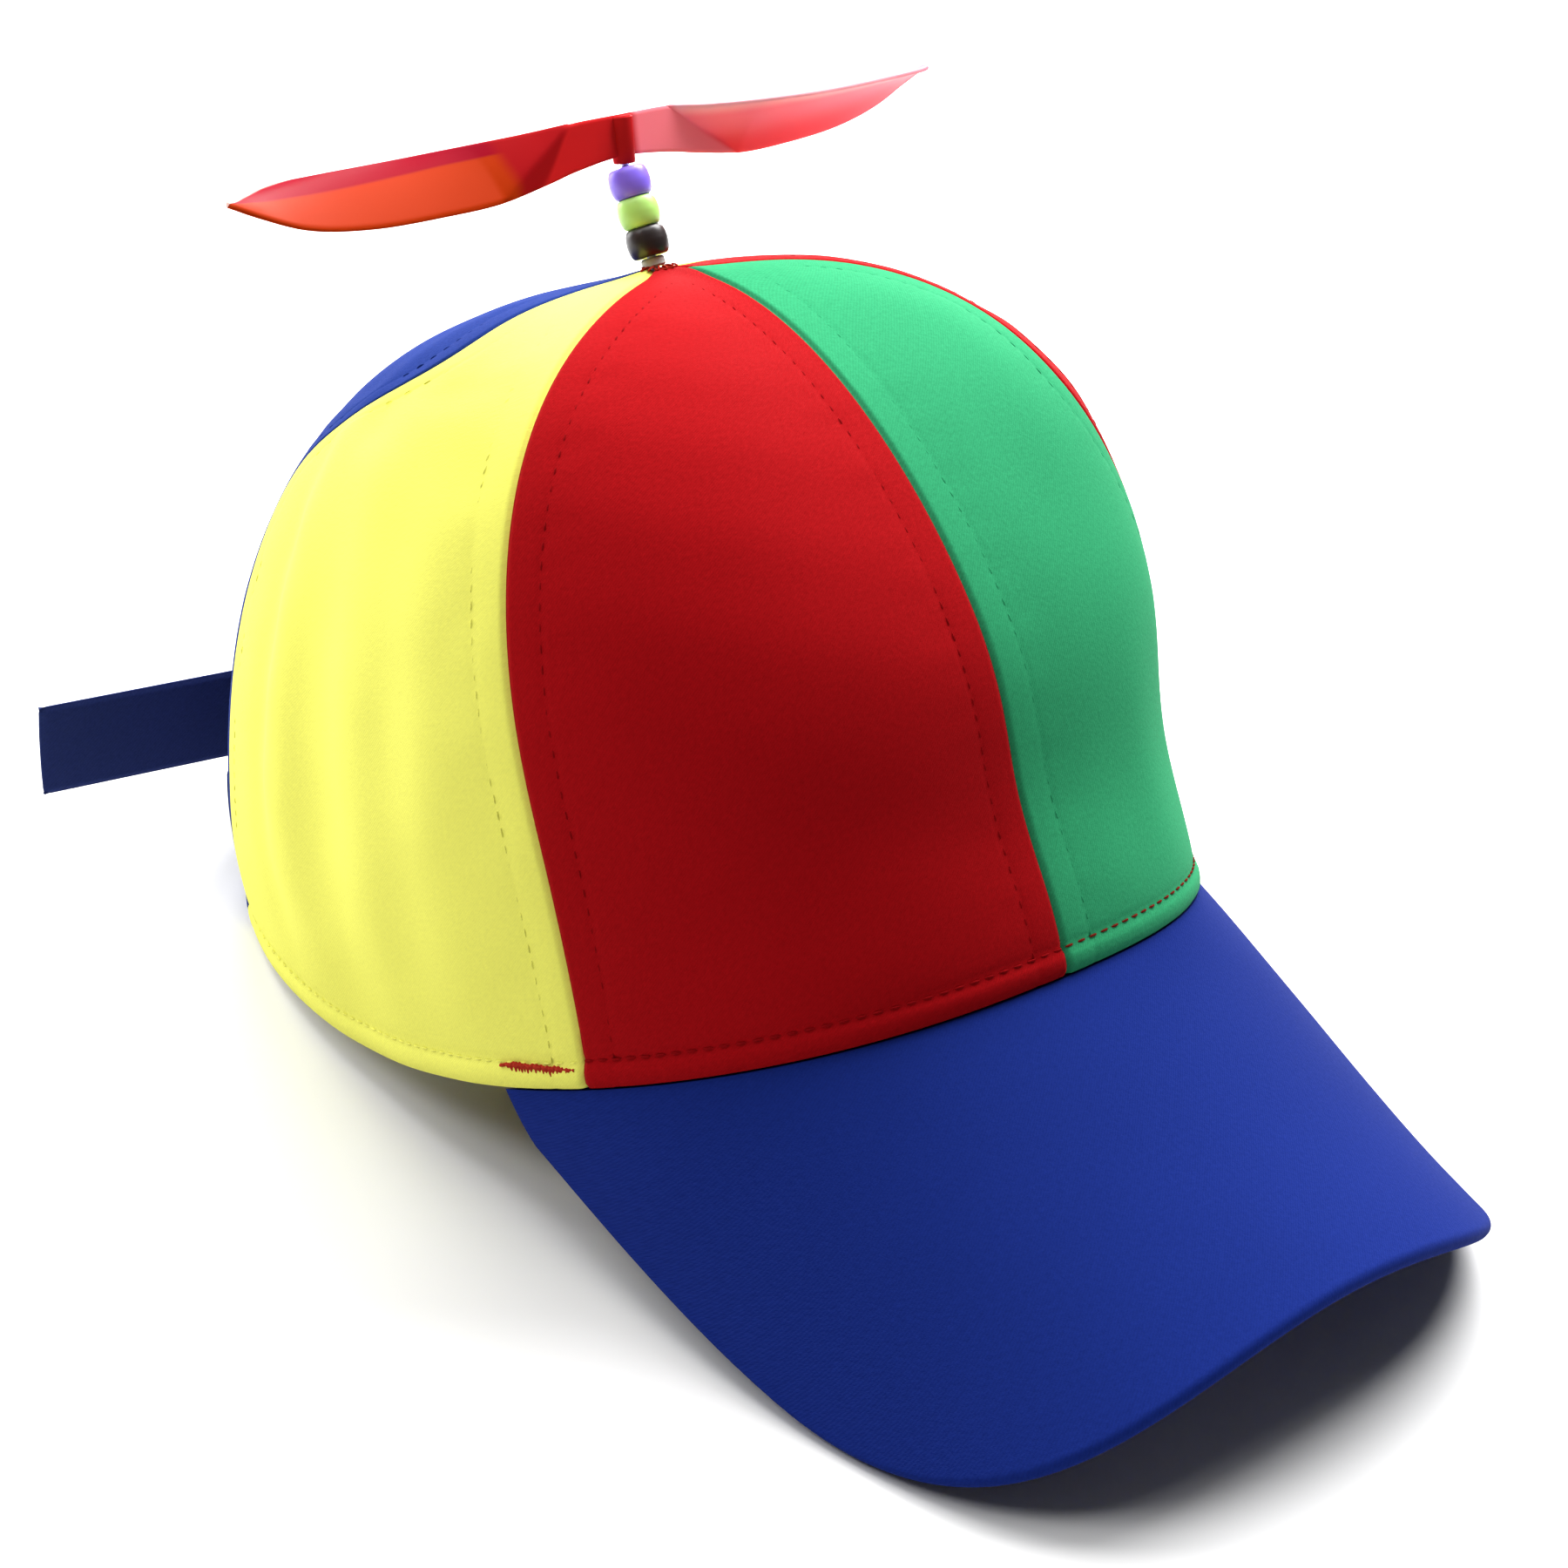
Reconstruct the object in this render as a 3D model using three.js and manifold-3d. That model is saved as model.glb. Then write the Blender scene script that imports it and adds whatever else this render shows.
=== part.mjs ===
// A six-panel cotton cap with an arched peak, a strap closure at the back, and a toy
// propeller that spins on a beaded rod at the apex. Millimetres, +Z up. The wearer looks
// along -Y, and the wearer's right side is at -X. The cap is shaped upright and then
// pitched back until it stands on its peak and its rear hem, as it does on a table.
import * as THREE from 'three';
import { mergeVertices } from 'three/addons/utils/BufferGeometryUtils.js';
import Module from 'manifold-3d';

const wasm = await Module();
wasm.setup();
const deg = Math.PI / 180;

// Fits
const seamGap = 0.3;
const restGap = 0.3;
const turningGap = 0.3;

// Crown, measured on its outside
const crownHalfWidth = 79;
const crownFrontReach = 92.75;
const crownBackReach = 103.2;
const crownHeight = 122.8;
const apexForward = 8.5;
const foreheadHemRise = 10;
const napeHemRise = 21.9;
const clothWall = 1.5;
const apexHoleRadius = 2.3;

// Roundness of the crown: 2 is an ellipse, and more is fuller
const planPower = 2.27;
const foreheadPower = 1.82;
const earPower = 3.11;
const napePower = 1.82;

// Where the wall is drawn in: a share of the radius, centred on a share of the height
const foreheadTuck = { depth: 0.05, centre: 0.25, band: 0.16 };
const earTuck = { depth: 0.07, centre: 0, band: 0.2 };

// Soft folds of the cloth, with depths as shares of the radius; a fold of negative
// depth stands proud
const crownFolds = [
  { angle: 78, height: 0.45, halfAngle: 6, halfHeight: 0.36, depth: 0.012 },
  { angle: 96, height: 0.4, halfAngle: 7, halfHeight: 0.34, depth: 0.016 },
  { angle: 112, height: 0.66, halfAngle: 9, halfHeight: 0.2, depth: 0.03 },
  { angle: 150, height: 0.55, halfAngle: 9, halfHeight: 0.25, depth: 0.014 },
  { angle: 262, height: 0.45, halfAngle: 8, halfHeight: 0.32, depth: 0.016 },
  { angle: 55, height: 0.34, halfAngle: 20, halfHeight: 0.18, depth: 0.015 },
  { angle: 305, height: 0.34, halfAngle: 22, halfHeight: 0.18, depth: 0.042 },
  { angle: 305, height: 0.8, halfAngle: 26, halfHeight: 0.14, depth: -0.036 },
  { angle: 315, height: 0.18, halfAngle: 20, halfHeight: 0.16, depth: 0.02 },
  { angle: 135, height: 0.1, halfAngle: 22, halfHeight: 0.16, depth: -0.022 },
];

// Seams, in degrees from the forehead; foot is a swing at the hem, bow the sideways
// swell at mid height, and crook a flat-topped swing in the upper part
const footBand = 0.16;
const crookCentre = 0.76;
const crookBandBelow = 0.19;
const crookBandAbove = 0.23;
const crookFlatness = 4;
const seams = {
  forehead: { angle: 0, foot: 0, bow: 0, crook: 0 },
  rightSide: { angle: 53.2, foot: 0, bow: 6, crook: 0 },
  rightRear: { angle: 128, foot: 7, bow: 0, crook: -40 },
  back: { angle: 180, foot: 0, bow: 0, crook: 0 },
  leftRear: { angle: 232, foot: -7, bow: 0, crook: 12 },
  leftSide: { angle: 306.8, foot: 0, bow: 8, crook: -8 },
  foreheadAgain: { angle: 360, foot: 0, bow: 0, crook: 0 },
};

// Rear opening above the strap
const openingHalfWidth = 40;
const openingHeight = 58;

// Peak
const peakThickness = 3;
const peakReach = 54.3;
const peakSlope = 41;
const peakFlare = 8.6;
const peakArchDepth = 84.25;
const peakArchOverTemple = 1.066;
const peakArchShareMost = 0.995;
const peakTempleAngle = 65.3;
const peakSideRun = 90.3;
const peakSideFlare = 1.4;
const peakFrontFullness = 0.82;
const peakCornerTrim = 0.03;
const peakFanning = 1.4;

// Closure strap and the fixed tab beneath it
const strapWidth = 17.8;
const strapThickness = 1.5;
const strapRise = 17;
const strapRootAngle = 218;
const strapReleaseAngle = 176;
const strapFreeLength = 74;
const strapFlyOut = 5.7;
const strapFlyUp = 3;
const strapClimbFar = 10;
const strapClimbNear = 3;
const strapLaidShare = 0.55;
const tabWidth = 16;
const tabThickness = 1.2;
const tabRootAngle = 142;
const tabEndAngle = 188;

// Rod, beads and propeller. The rod leans back through the beads and is bent upright
// above them, where it is the propeller's spindle. Bead heights run along the leaning
// part from the apex, and hub heights along the spindle from the bend.
const rodRadius = 0.8;
const rodOffsetRight = 1;
const rodLeanRight = 2.7;
const rodLeanBack = 10.9;
const spindleLeanForward = 3.3;
const bendAboveBeads = 0.35;
const hubAboveBend = 0.6;
const washerRadius = 6;
const washerThickness = 1;
const collarRadius = 2.4;
const collarLow = 0.9;
const collarHeight = 1.7;
const beadRadius = 3.6;
const beadHeight = 4.9;
const beadEndShare = 0.45;
const beadSquareness = 0.8;
const hubHeight = 8.5;
const hubTopRadius = 2.2;
const hubLowRadius = 1.9;
const hubCap = 1.2;
const bladeLineBelowHubTop = 2.6;
const bladeLength = 87.2;
const bladeWidth = 10;
const bladeDepth = 8.5;
const bladeThickness = 0.9;
const bladeCamber = 1.2;
const bladeTurn = 12.5;

// Blade sections from the hub to the tip. top and bottom are the heights of its two
// edges as shares of bladeDepth; topReach and bottomReach are how far each edge lies
// to its own side as shares of bladeWidth.
const bladeSections = [
  { out: 0, top: 0.27, bottom: -0.55, topReach: 0, bottomReach: 0 },
  { out: 0.14, top: 0.265, bottom: -0.67, topReach: 0.03, bottomReach: 0 },
  { out: 0.22, top: 0.19, bottom: -0.8, topReach: 0.38, bottomReach: 0 },
  { out: 0.35, top: 0.13, bottom: -0.97, topReach: 0.74, bottomReach: 0 },
  { out: 0.5, top: 0.08, bottom: -0.98, topReach: 0.98, bottomReach: 0.03 },
  { out: 0.7, top: 0.075, bottom: -0.89, topReach: 1, bottomReach: 0.16 },
  { out: 0.86, top: 0.075, bottom: -0.64, topReach: 0.86, bottomReach: 0.28 },
  { out: 0.95, top: 0.05, bottom: -0.3, topReach: 0.48, bottomReach: 0.22 },
  { out: 1, top: 0.035, bottom: -0.035, topReach: 0.04, bottomReach: 0.04 },
];

// Mesh density
const panelColumns = 9;
const panelRows = 17;
const peakColumns = 24;
const peakRows = 7;
const roundSides = 14;

const blend = THREE.MathUtils.lerp;

// Turns a skin's faces outward and welds its shared corners.
function closedSkin(geometry) {
  const plain = geometry.clone();
  plain.deleteAttribute('normal');
  plain.deleteAttribute('uv');
  const welded = mergeVertices(plain, 1e-4);
  const place = welded.attributes.position;
  const index = welded.index.array;
  const corners = [new THREE.Vector3(), new THREE.Vector3(), new THREE.Vector3()];
  let volume = 0;
  for (let i = 0; i < index.length; i += 3) {
    corners.forEach((corner, k) => corner.fromBufferAttribute(place, index[i + k]));
    volume += corners[0].dot(corners[1].cross(corners[2]));
  }
  if (volume < 0) {
    for (let i = 0; i < index.length; i += 3) {
      [index[i], index[i + 1]] = [index[i + 1], index[i]];
    }
  }
  return welded;
}

function toSolid(geometry) {
  const skin = closedSkin(geometry);
  const vertProperties = new Float32Array(skin.attributes.position.array);
  const triVerts = new Uint32Array(skin.index.array);
  return new wasm.Manifold(new wasm.Mesh({ numProp: 3, vertProperties, triVerts }));
}

function toGeometry(solid) {
  const mesh = solid.getMesh();
  const geometry = new THREE.BufferGeometry();
  geometry.setAttribute('position', new THREE.BufferAttribute(new Float32Array(mesh.vertProperties), 3));
  geometry.setIndex(new THREE.BufferAttribute(new Uint32Array(mesh.triVerts), 1));
  return geometry;
}

// Joins two grids of points, one for each side of a sheet, into one closed skin.
function sheetGeometry(outside, inside) {
  const lastRow = outside.length - 1;
  const lastColumn = outside[0].length - 1;
  const size = (lastRow + 1) * (lastColumn + 1);
  const out = (r, c) => r * (lastColumn + 1) + c;
  const inn = (r, c) => size + out(r, c);
  const faces = [];
  const quad = (a, b, c, d) => faces.push(a, b, c, a, c, d);
  for (let r = 0; r < lastRow; r += 1) {
    for (let c = 0; c < lastColumn; c += 1) {
      quad(out(r, c), out(r, c + 1), out(r + 1, c + 1), out(r + 1, c));
      quad(inn(r, c), inn(r + 1, c), inn(r + 1, c + 1), inn(r, c + 1));
    }
    quad(out(r, 0), out(r + 1, 0), inn(r + 1, 0), inn(r, 0));
    quad(out(r, lastColumn), inn(r, lastColumn), inn(r + 1, lastColumn), out(r + 1, lastColumn));
  }
  for (let c = 0; c < lastColumn; c += 1) {
    quad(out(0, c), inn(0, c), inn(0, c + 1), out(0, c + 1));
    quad(out(lastRow, c), out(lastRow, c + 1), inn(lastRow, c + 1), inn(lastRow, c));
  }
  const places = [...outside, ...inside].flat().flatMap((point) => point.toArray());
  const geometry = new THREE.BufferGeometry();
  geometry.setAttribute('position', new THREE.Float32BufferAttribute(places, 3));
  geometry.setIndex(faces);
  return closedSkin(geometry);
}

function grid(rows, columns, pointAt) {
  return Array.from({ length: rows + 1 }, (_, r) => (
    Array.from({ length: columns + 1 }, (__, c) => pointAt(r / rows, c / columns))));
}

// Crown surface
function facing(angle) {
  const front = Math.max(Math.cos(angle), 0) ** 2;
  const back = Math.max(-Math.cos(angle), 0) ** 2;
  return { front, back, ear: 1 - front - back };
}

function crownPower(angle) {
  const share = facing(angle);
  return foreheadPower * share.front + earPower * share.ear + napePower * share.back;
}

function planRadius(angle) {
  const reach = Math.cos(angle) > 0 ? crownFrontReach : crownBackReach;
  const side = Math.abs(Math.sin(angle)) / crownHalfWidth;
  const along = Math.abs(Math.cos(angle)) / reach;
  return (side ** planPower + along ** planPower) ** (-1 / planPower);
}

function hemHeight(angle) {
  const rise = Math.cos(angle) > 0 ? foreheadHemRise : napeHemRise;
  return rise * Math.cos(angle) ** 2;
}

function swell(value, centre, band) {
  return Math.exp(-(((value - centre) / band) ** 2));
}

function tuckAt(angle, height) {
  const share = facing(angle);
  let tuck = foreheadTuck.depth * share.front * swell(height, foreheadTuck.centre, foreheadTuck.band);
  tuck += earTuck.depth * share.ear * swell(height, earTuck.centre, earTuck.band);
  const turn = THREE.MathUtils.euclideanModulo(angle / deg, 360);
  for (const fold of crownFolds) {
    tuck += fold.depth * swell(turn, fold.angle, fold.halfAngle)
      * swell(height, fold.height, fold.halfHeight);
  }
  return tuck;
}

// angle runs from the forehead toward the wearer's right, lift from the hem to the apex
function crownPoint(angle, lift) {
  const power = crownPower(angle);
  const across = Math.cos(lift);
  const up = Math.max(Math.sin(lift), 0);
  const scale = (across ** power + up ** power) ** (-1 / power);
  const height = up * scale;
  const radius = planRadius(angle) * across * scale * (1 - tuckAt(angle, height));
  const hem = hemHeight(angle);
  return new THREE.Vector3(
    -radius * Math.sin(angle),
    -radius * Math.cos(angle) - apexForward * height,
    hem + (crownHeight - hem) * height,
  );
}

function crownNormal(angle, lift) {
  const step = 1e-3;
  const low = Math.max(lift - step, 0);
  const across = crownPoint(angle + step, lift).sub(crownPoint(angle - step, lift));
  const up = crownPoint(angle, lift + step).sub(crownPoint(angle, low));
  return up.cross(across).normalize();
}

function liftAtHeight(angle, height) {
  const power = crownPower(angle);
  const across = (1 - height ** power) ** (1 / power);
  return Math.atan2(height, across);
}

function apexLift(angle) {
  const power = crownPower(angle);
  const across = apexHoleRadius / planRadius(angle);
  return Math.atan2((1 - across ** power) ** (1 / power), across);
}

function wallPoint(angle, lift, offset) {
  return crownPoint(angle, lift).addScaledVector(crownNormal(angle, lift), offset);
}

// Crown panels
function seamAngle(seam, rise) {
  const foot = seam.foot * swell(rise, 0, footBand);
  const bow = seam.bow * Math.sin(rise * Math.PI) ** 2;
  const band = rise < crookCentre ? crookBandBelow : crookBandAbove;
  const crook = seam.crook * Math.exp(-(Math.abs((rise - crookCentre) / band) ** crookFlatness));
  return (seam.angle + foot + bow + crook) * deg;
}

function panelGeometry(first, second) {
  const place = (offset) => (rise, share) => {
    const trim = (angle) => {
      const point = crownPoint(angle, rise * apexLift(angle));
      const height = (point.z - hemHeight(angle)) / (crownHeight - hemHeight(angle));
      return seamGap / 2 / Math.hypot(point.x, point.y + apexForward * height);
    };
    const start = seamAngle(first, rise);
    const end = seamAngle(second, rise);
    const angle = blend(start + trim(start), end - trim(end), share);
    return wallPoint(angle, rise * apexLift(angle), offset);
  };
  const outside = grid(panelRows, panelColumns, place(0));
  const inside = grid(panelRows, panelColumns, place(-clothWall));
  return sheetGeometry(outside, inside);
}

function rearOpening() {
  const outline = new THREE.Shape();
  outline.absellipse(0, napeHemRise, openingHalfWidth, openingHeight, 0, 2 * Math.PI);
  const cutter = new THREE.ExtrudeGeometry(outline, {
    depth: crownBackReach,
    bevelEnabled: false,
    curveSegments: 20,
  });
  cutter.rotateX(90 * deg);
  cutter.translate(0, crownBackReach * 1.5, 0);
  return toSolid(cutter);
}

function backPanelGeometry(first, second) {
  return toGeometry(toSolid(panelGeometry(first, second)).subtract(rearOpening()));
}

// Peak
const temple = crownPoint(peakTempleAngle * deg, 0);
const templeHalfWidth = Math.abs(temple.x);
const peakArchHalfWidth = templeHalfWidth * peakArchOverTemple;
const peakTipY = -(crownFrontReach + peakReach);

function peakHeight(x, y) {
  const run = -(y + crownFrontReach);
  const share = Math.min(Math.abs(x) / peakArchHalfWidth, peakArchShareMost);
  const arch = peakArchDepth * (1 - Math.sqrt(1 - share ** 2));
  const flare = peakFlare * run * Math.abs(run) / peakReach ** 2;
  return foreheadHemRise - run * Math.tan(peakSlope * deg) + flare - arch;
}

const peakOutline = new THREE.CubicBezierCurve(
  new THREE.Vector2(templeHalfWidth, temple.y),
  new THREE.Vector2(templeHalfWidth + peakSideFlare, temple.y - peakSideRun),
  new THREE.Vector2(templeHalfWidth * peakFrontFullness, peakTipY),
  new THREE.Vector2(0, peakTipY),
);

// out runs from the hem to the peak's edge, and share from the wearer's right to left
function peakTop(out, share) {
  const side = share < 0.5 ? -1 : 1;
  const inward = (1 - Math.abs(1 - 2 * share)) ** peakFanning;
  const hemAngle = -side * peakTempleAngle * (1 - inward) * deg;
  const root = crownPoint(hemAngle, 0);
  const edge = peakOutline.getPoint(blend(peakCornerTrim, 1, inward));
  const x = blend(root.x, side * edge.x, out);
  const y = blend(root.y, edge.y, out);
  const seat = root.z - restGap - peakHeight(root.x, root.y);
  return new THREE.Vector3(x, y, peakHeight(x, y) + seat * (1 - out) ** 2);
}

function peakNormal(x, y) {
  const step = 0.05;
  const slopeX = (peakHeight(x + step, y) - peakHeight(x - step, y)) / (2 * step);
  const slopeY = (peakHeight(x, y + step) - peakHeight(x, y - step)) / (2 * step);
  return new THREE.Vector3(-slopeX, -slopeY, 1).normalize();
}

function peakGeometry() {
  const top = grid(peakRows, peakColumns, peakTop);
  const under = top.map((row) => row.map((point) => (
    point.clone().addScaledVector(peakNormal(point.x, point.y), -peakThickness))));
  return sheetGeometry(top, under);
}

// Closure
function bandPoint(angle, across, offset) {
  const hem = hemHeight(angle);
  const height = (strapRise + across) / (crownHeight - hem);
  return wallPoint(angle, liftAtHeight(angle, height), offset);
}

const tabOffset = restGap;
const strapOverTab = tabOffset + tabThickness + restGap;

function tabGeometry() {
  const place = (offset) => (rise, share) => (
    bandPoint(blend(tabRootAngle, tabEndAngle, share) * deg, tabWidth * (rise - 0.5), offset));
  return sheetGeometry(grid(2, 12, place(tabOffset + tabThickness)), grid(2, 12, place(tabOffset)));
}

// The strap is sewn flat on the back left panel, climbs over the tab's end, crosses the
// opening and then flies straight on past the wearer's right.
function strapGeometry() {
  const flight = new THREE.Vector3(-1, Math.tan(strapFlyOut * deg), Math.tan(strapFlyUp * deg));
  flight.normalize();
  const place = (thickness) => (rise, share) => {
    const across = strapWidth * (rise - 0.5);
    const laid = Math.min(share / strapLaidShare, 1);
    const angle = blend(strapRootAngle, strapReleaseAngle, laid);
    const pastTab = angle - tabEndAngle;
    const climb = 1 - THREE.MathUtils.smoothstep(pastTab, strapClimbNear, strapClimbFar);
    const offset = blend(restGap, strapOverTab, climb) + thickness;
    const free = Math.max(share - strapLaidShare, 0) / (1 - strapLaidShare) * strapFreeLength;
    return bandPoint(angle * deg, across, offset).addScaledVector(flight, free);
  };
  return sheetGeometry(grid(2, 32, place(strapThickness)), grid(2, 32, place(0)));
}

// Rod, beads and propeller, each along +Z
function roundBar(radius, low, high, topRadius = radius) {
  const bar = new THREE.CylinderGeometry(topRadius, radius, high - low, roundSides);
  bar.rotateX(90 * deg);
  bar.translate(0, 0, (low + high) / 2);
  return bar;
}

const beadBore = rodRadius + turningGap;
const stackLow = collarLow + collarHeight + restGap;
const bendHeight = stackLow + 3 * (beadHeight + restGap) - restGap + bendAboveBeads;
const hubLow = hubAboveBend;
const hubTop = hubLow + hubHeight;
const spindleTop = hubTop - hubCap - turningGap;
const upright = new THREE.Vector3(0, 0, 1);

const stem = new THREE.Group();
const stemDirection = new THREE.Vector3(-Math.tan(rodLeanRight * deg), Math.tan(rodLeanBack * deg), 1);
stemDirection.normalize();
stem.position.set(-rodOffsetRight, -apexForward, crownHeight);
stem.quaternion.setFromUnitVectors(upright, stemDirection);
stem.updateMatrix();

const spindle = new THREE.Group();
const spindleDirection = new THREE.Vector3(0, -Math.tan(spindleLeanForward * deg), 1).normalize();
spindle.position.copy(stem.position).addScaledVector(stemDirection, bendHeight);
spindle.quaternion.setFromUnitVectors(upright, spindleDirection);
spindle.updateMatrix();

// The washer lies under the apex, just clear of the cloth all the way round.
function washerTop() {
  const around = Array.from({ length: 36 }, (_, i) => i * 10 * deg);
  const low = around.map((angle) => {
    const power = crownPower(angle);
    const across = washerRadius / planRadius(angle);
    const lift = Math.atan2((1 - across ** power) ** (1 / power), across);
    return wallPoint(angle, lift, -clothWall).z;
  });
  return Math.min(...low) - restGap;
}

function rodGeometry() {
  const top = washerTop();
  const washer = roundBar(washerRadius, top - washerThickness, top);
  washer.translate(0, -apexForward, 0);
  const foot = top - washerThickness / 2 - crownHeight;
  const leaning = roundBar(rodRadius, foot, bendHeight).applyMatrix4(stem.matrix);
  const collar = roundBar(collarRadius, collarLow, collarLow + collarHeight).applyMatrix4(stem.matrix);
  const bend = new THREE.SphereGeometry(rodRadius, roundSides, roundSides / 2).applyMatrix4(spindle.matrix);
  const straight = roundBar(rodRadius, 0, spindleTop).applyMatrix4(spindle.matrix);
  const solids = [washer, leaning, collar, bend, straight].map(toSolid);
  return toGeometry(solids.reduce((whole, solid) => whole.add(solid)));
}

function beadGeometry() {
  const half = beadHeight / 2;
  const shoulder = blend(beadBore, beadRadius, beadEndShare);
  const steps = 8;
  const profile = [new THREE.Vector2(beadBore, -half)];
  for (let i = 0; i <= steps; i += 1) {
    const turn = (i / steps - 0.5) * Math.PI;
    const radius = shoulder + (beadRadius - shoulder) * Math.cos(turn) ** beadSquareness;
    profile.push(new THREE.Vector2(radius, half * Math.sin(turn)));
  }
  profile.push(new THREE.Vector2(beadBore, half), new THREE.Vector2(beadBore, -half));
  const bead = new THREE.LatheGeometry(profile, roundSides + 2);
  bead.rotateX(90 * deg);
  return closedSkin(bead);
}

// One strip from tip to tip: upright at the hub, and pitched opposite ways on the two
// sides, so that it looks the same after half a turn.
function bladeStrip() {
  const halves = [...bladeSections.slice(1).reverse().map((row) => ({ ...row, side: -1 })),
    ...bladeSections.map((row) => ({ ...row, side: 1 }))];
  const edge = (height, reach, way) => new THREE.CatmullRomCurve3(halves.map((row) => (
    new THREE.Vector3(row.side * row.out * bladeLength, way * row.side * row[reach] * bladeWidth,
      row[height] * bladeDepth))));
  const topEdge = edge('top', 'topReach', -1);
  const bottomEdge = edge('bottom', 'bottomReach', 1);
  const middle = (along, across) => {
    const low = bottomEdge.getPoint(along);
    const high = topEdge.getPoint(along);
    const width = Math.abs(high.y - low.y) / bladeWidth;
    const point = low.clone().lerp(high, across);
    point.z += bladeCamber * width * 4 * across * (1 - across);
    return point;
  };
  const step = 1e-3;
  const place = (offset) => (along, across) => {
    const ahead = middle(Math.min(along + step, 1), across).sub(middle(Math.max(along - step, 0), across));
    const over = middle(along, Math.min(across + step, 1)).sub(middle(along, Math.max(across - step, 0)));
    return middle(along, across).addScaledVector(ahead.cross(over).normalize(), offset);
  };
  return sheetGeometry(grid(44, 5, place(bladeThickness / 2)), grid(44, 5, place(-bladeThickness / 2)));
}

function propellerGeometry() {
  const strip = bladeStrip();
  strip.rotateZ(bladeTurn * deg);
  strip.translate(0, 0, hubTop - bladeLineBelowHubTop);
  const hub = roundBar(hubLowRadius, hubLow, hubTop, hubTopRadius);
  const bore = roundBar(beadBore, hubLow - hubHeight, hubTop - hubCap);
  return toGeometry(toSolid(strip).add(toSolid(hub)).subtract(toSolid(bore)));
}

// Assembly
function piece(name, geometry, color, roughness) {
  const material = new THREE.MeshStandardMaterial({ color, roughness, metalness: 0 });
  const mesh = new THREE.Mesh(geometry, material);
  mesh.name = name;
  return mesh;
}

const cotton = 0.9;
const cap = new THREE.Group();
const panels = [
  piece('front_right_panel', panelGeometry(seams.forehead, seams.rightSide), '#b8111f', cotton),
  piece('right_side_panel', panelGeometry(seams.rightSide, seams.rightRear), '#f5f069', cotton),
  piece('back_right_panel', backPanelGeometry(seams.rightRear, seams.back), '#2f55bf', cotton),
  piece('back_left_panel', backPanelGeometry(seams.back, seams.leftRear), '#f5f069', cotton),
  piece('left_side_panel', panelGeometry(seams.leftRear, seams.leftSide), '#b8111f', cotton),
  piece('front_left_panel', panelGeometry(seams.leftSide, seams.foreheadAgain), '#2fae6f', cotton),
];
const peak = piece('peak', peakGeometry(), '#1c2f96', cotton);
cap.add(...panels, peak);
cap.add(piece('closure_tab', tabGeometry(), '#1a2154', cotton));
cap.add(piece('closure_strap', strapGeometry(), '#1a2154', cotton));
cap.add(piece('rod', rodGeometry(), '#c9ccd1', 0.3));

const beadColours = { bead_black: '#241a1a', bead_green: '#9fdc4c', bead_purple: '#6644cc' };
Object.entries(beadColours).forEach(([name, color], order) => {
  const bead = piece(name, beadGeometry(), color, 0.3);
  bead.position.z = stackLow + order * (beadHeight + restGap) + beadHeight / 2;
  stem.add(bead);
});
spindle.add(piece('propeller', propellerGeometry(), '#e0202c', 0.15));
cap.add(stem, spindle);

// Lowest corner of some meshes once the cap is pitched back
function lowestCorner(meshes, pitch, keep) {
  const turn = new THREE.Matrix4().makeRotationX(-pitch);
  const corner = new THREE.Vector3();
  let lowest = null;
  for (const mesh of meshes) {
    const place = mesh.geometry.attributes.position;
    for (let i = 0; i < place.count; i += 1) {
      corner.fromBufferAttribute(place, i);
      if (!keep(corner)) continue;
      corner.applyMatrix4(turn);
      if (!lowest || corner.z < lowest.z) lowest = corner.clone();
    }
  }
  return lowest;
}

let pitch = 0;
for (let turn = 0; turn < 12; turn += 1) {
  const front = lowestCorner([peak], pitch, () => true);
  const rear = lowestCorner(panels, pitch, (corner) => corner.y > 0);
  pitch += Math.atan2(rear.z - front.z, rear.y - front.y);
}
cap.rotation.x = -pitch;

const group = new THREE.Group();
group.add(cap);
group.updateMatrixWorld(true);
const box = new THREE.Box3().setFromObject(group, true);
cap.position.set(-(box.min.x + box.max.x) / 2, -(box.min.y + box.max.y) / 2, -box.min.z);
group.updateMatrixWorld(true);

export default group;
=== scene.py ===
import math
import bpy
import numpy as np
from mathutils import Matrix, Vector


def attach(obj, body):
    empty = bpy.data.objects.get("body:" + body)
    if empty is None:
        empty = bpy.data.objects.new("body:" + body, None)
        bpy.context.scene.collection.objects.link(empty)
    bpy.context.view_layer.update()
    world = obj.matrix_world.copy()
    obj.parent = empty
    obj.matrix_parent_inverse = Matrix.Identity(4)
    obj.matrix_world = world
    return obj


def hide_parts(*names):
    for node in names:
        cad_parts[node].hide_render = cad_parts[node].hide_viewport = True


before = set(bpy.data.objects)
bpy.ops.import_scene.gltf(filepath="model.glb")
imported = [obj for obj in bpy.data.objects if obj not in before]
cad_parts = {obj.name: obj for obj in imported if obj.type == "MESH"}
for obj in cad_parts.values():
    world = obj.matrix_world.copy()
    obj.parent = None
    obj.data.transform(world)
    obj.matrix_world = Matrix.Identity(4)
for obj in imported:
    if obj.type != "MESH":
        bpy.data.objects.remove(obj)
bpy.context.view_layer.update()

# Studio. A sweep of pale paper under soft lights: a broad one overhead, one high behind the
# cap, two on the wearer's left and two weak ones on the right. Far off, the paper and the air
# show plain white, which only the camera sees and which lights nothing.
scene = bpy.context.scene
scene.view_settings.view_transform = "Standard"
scene.view_settings.look = "None"


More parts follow.
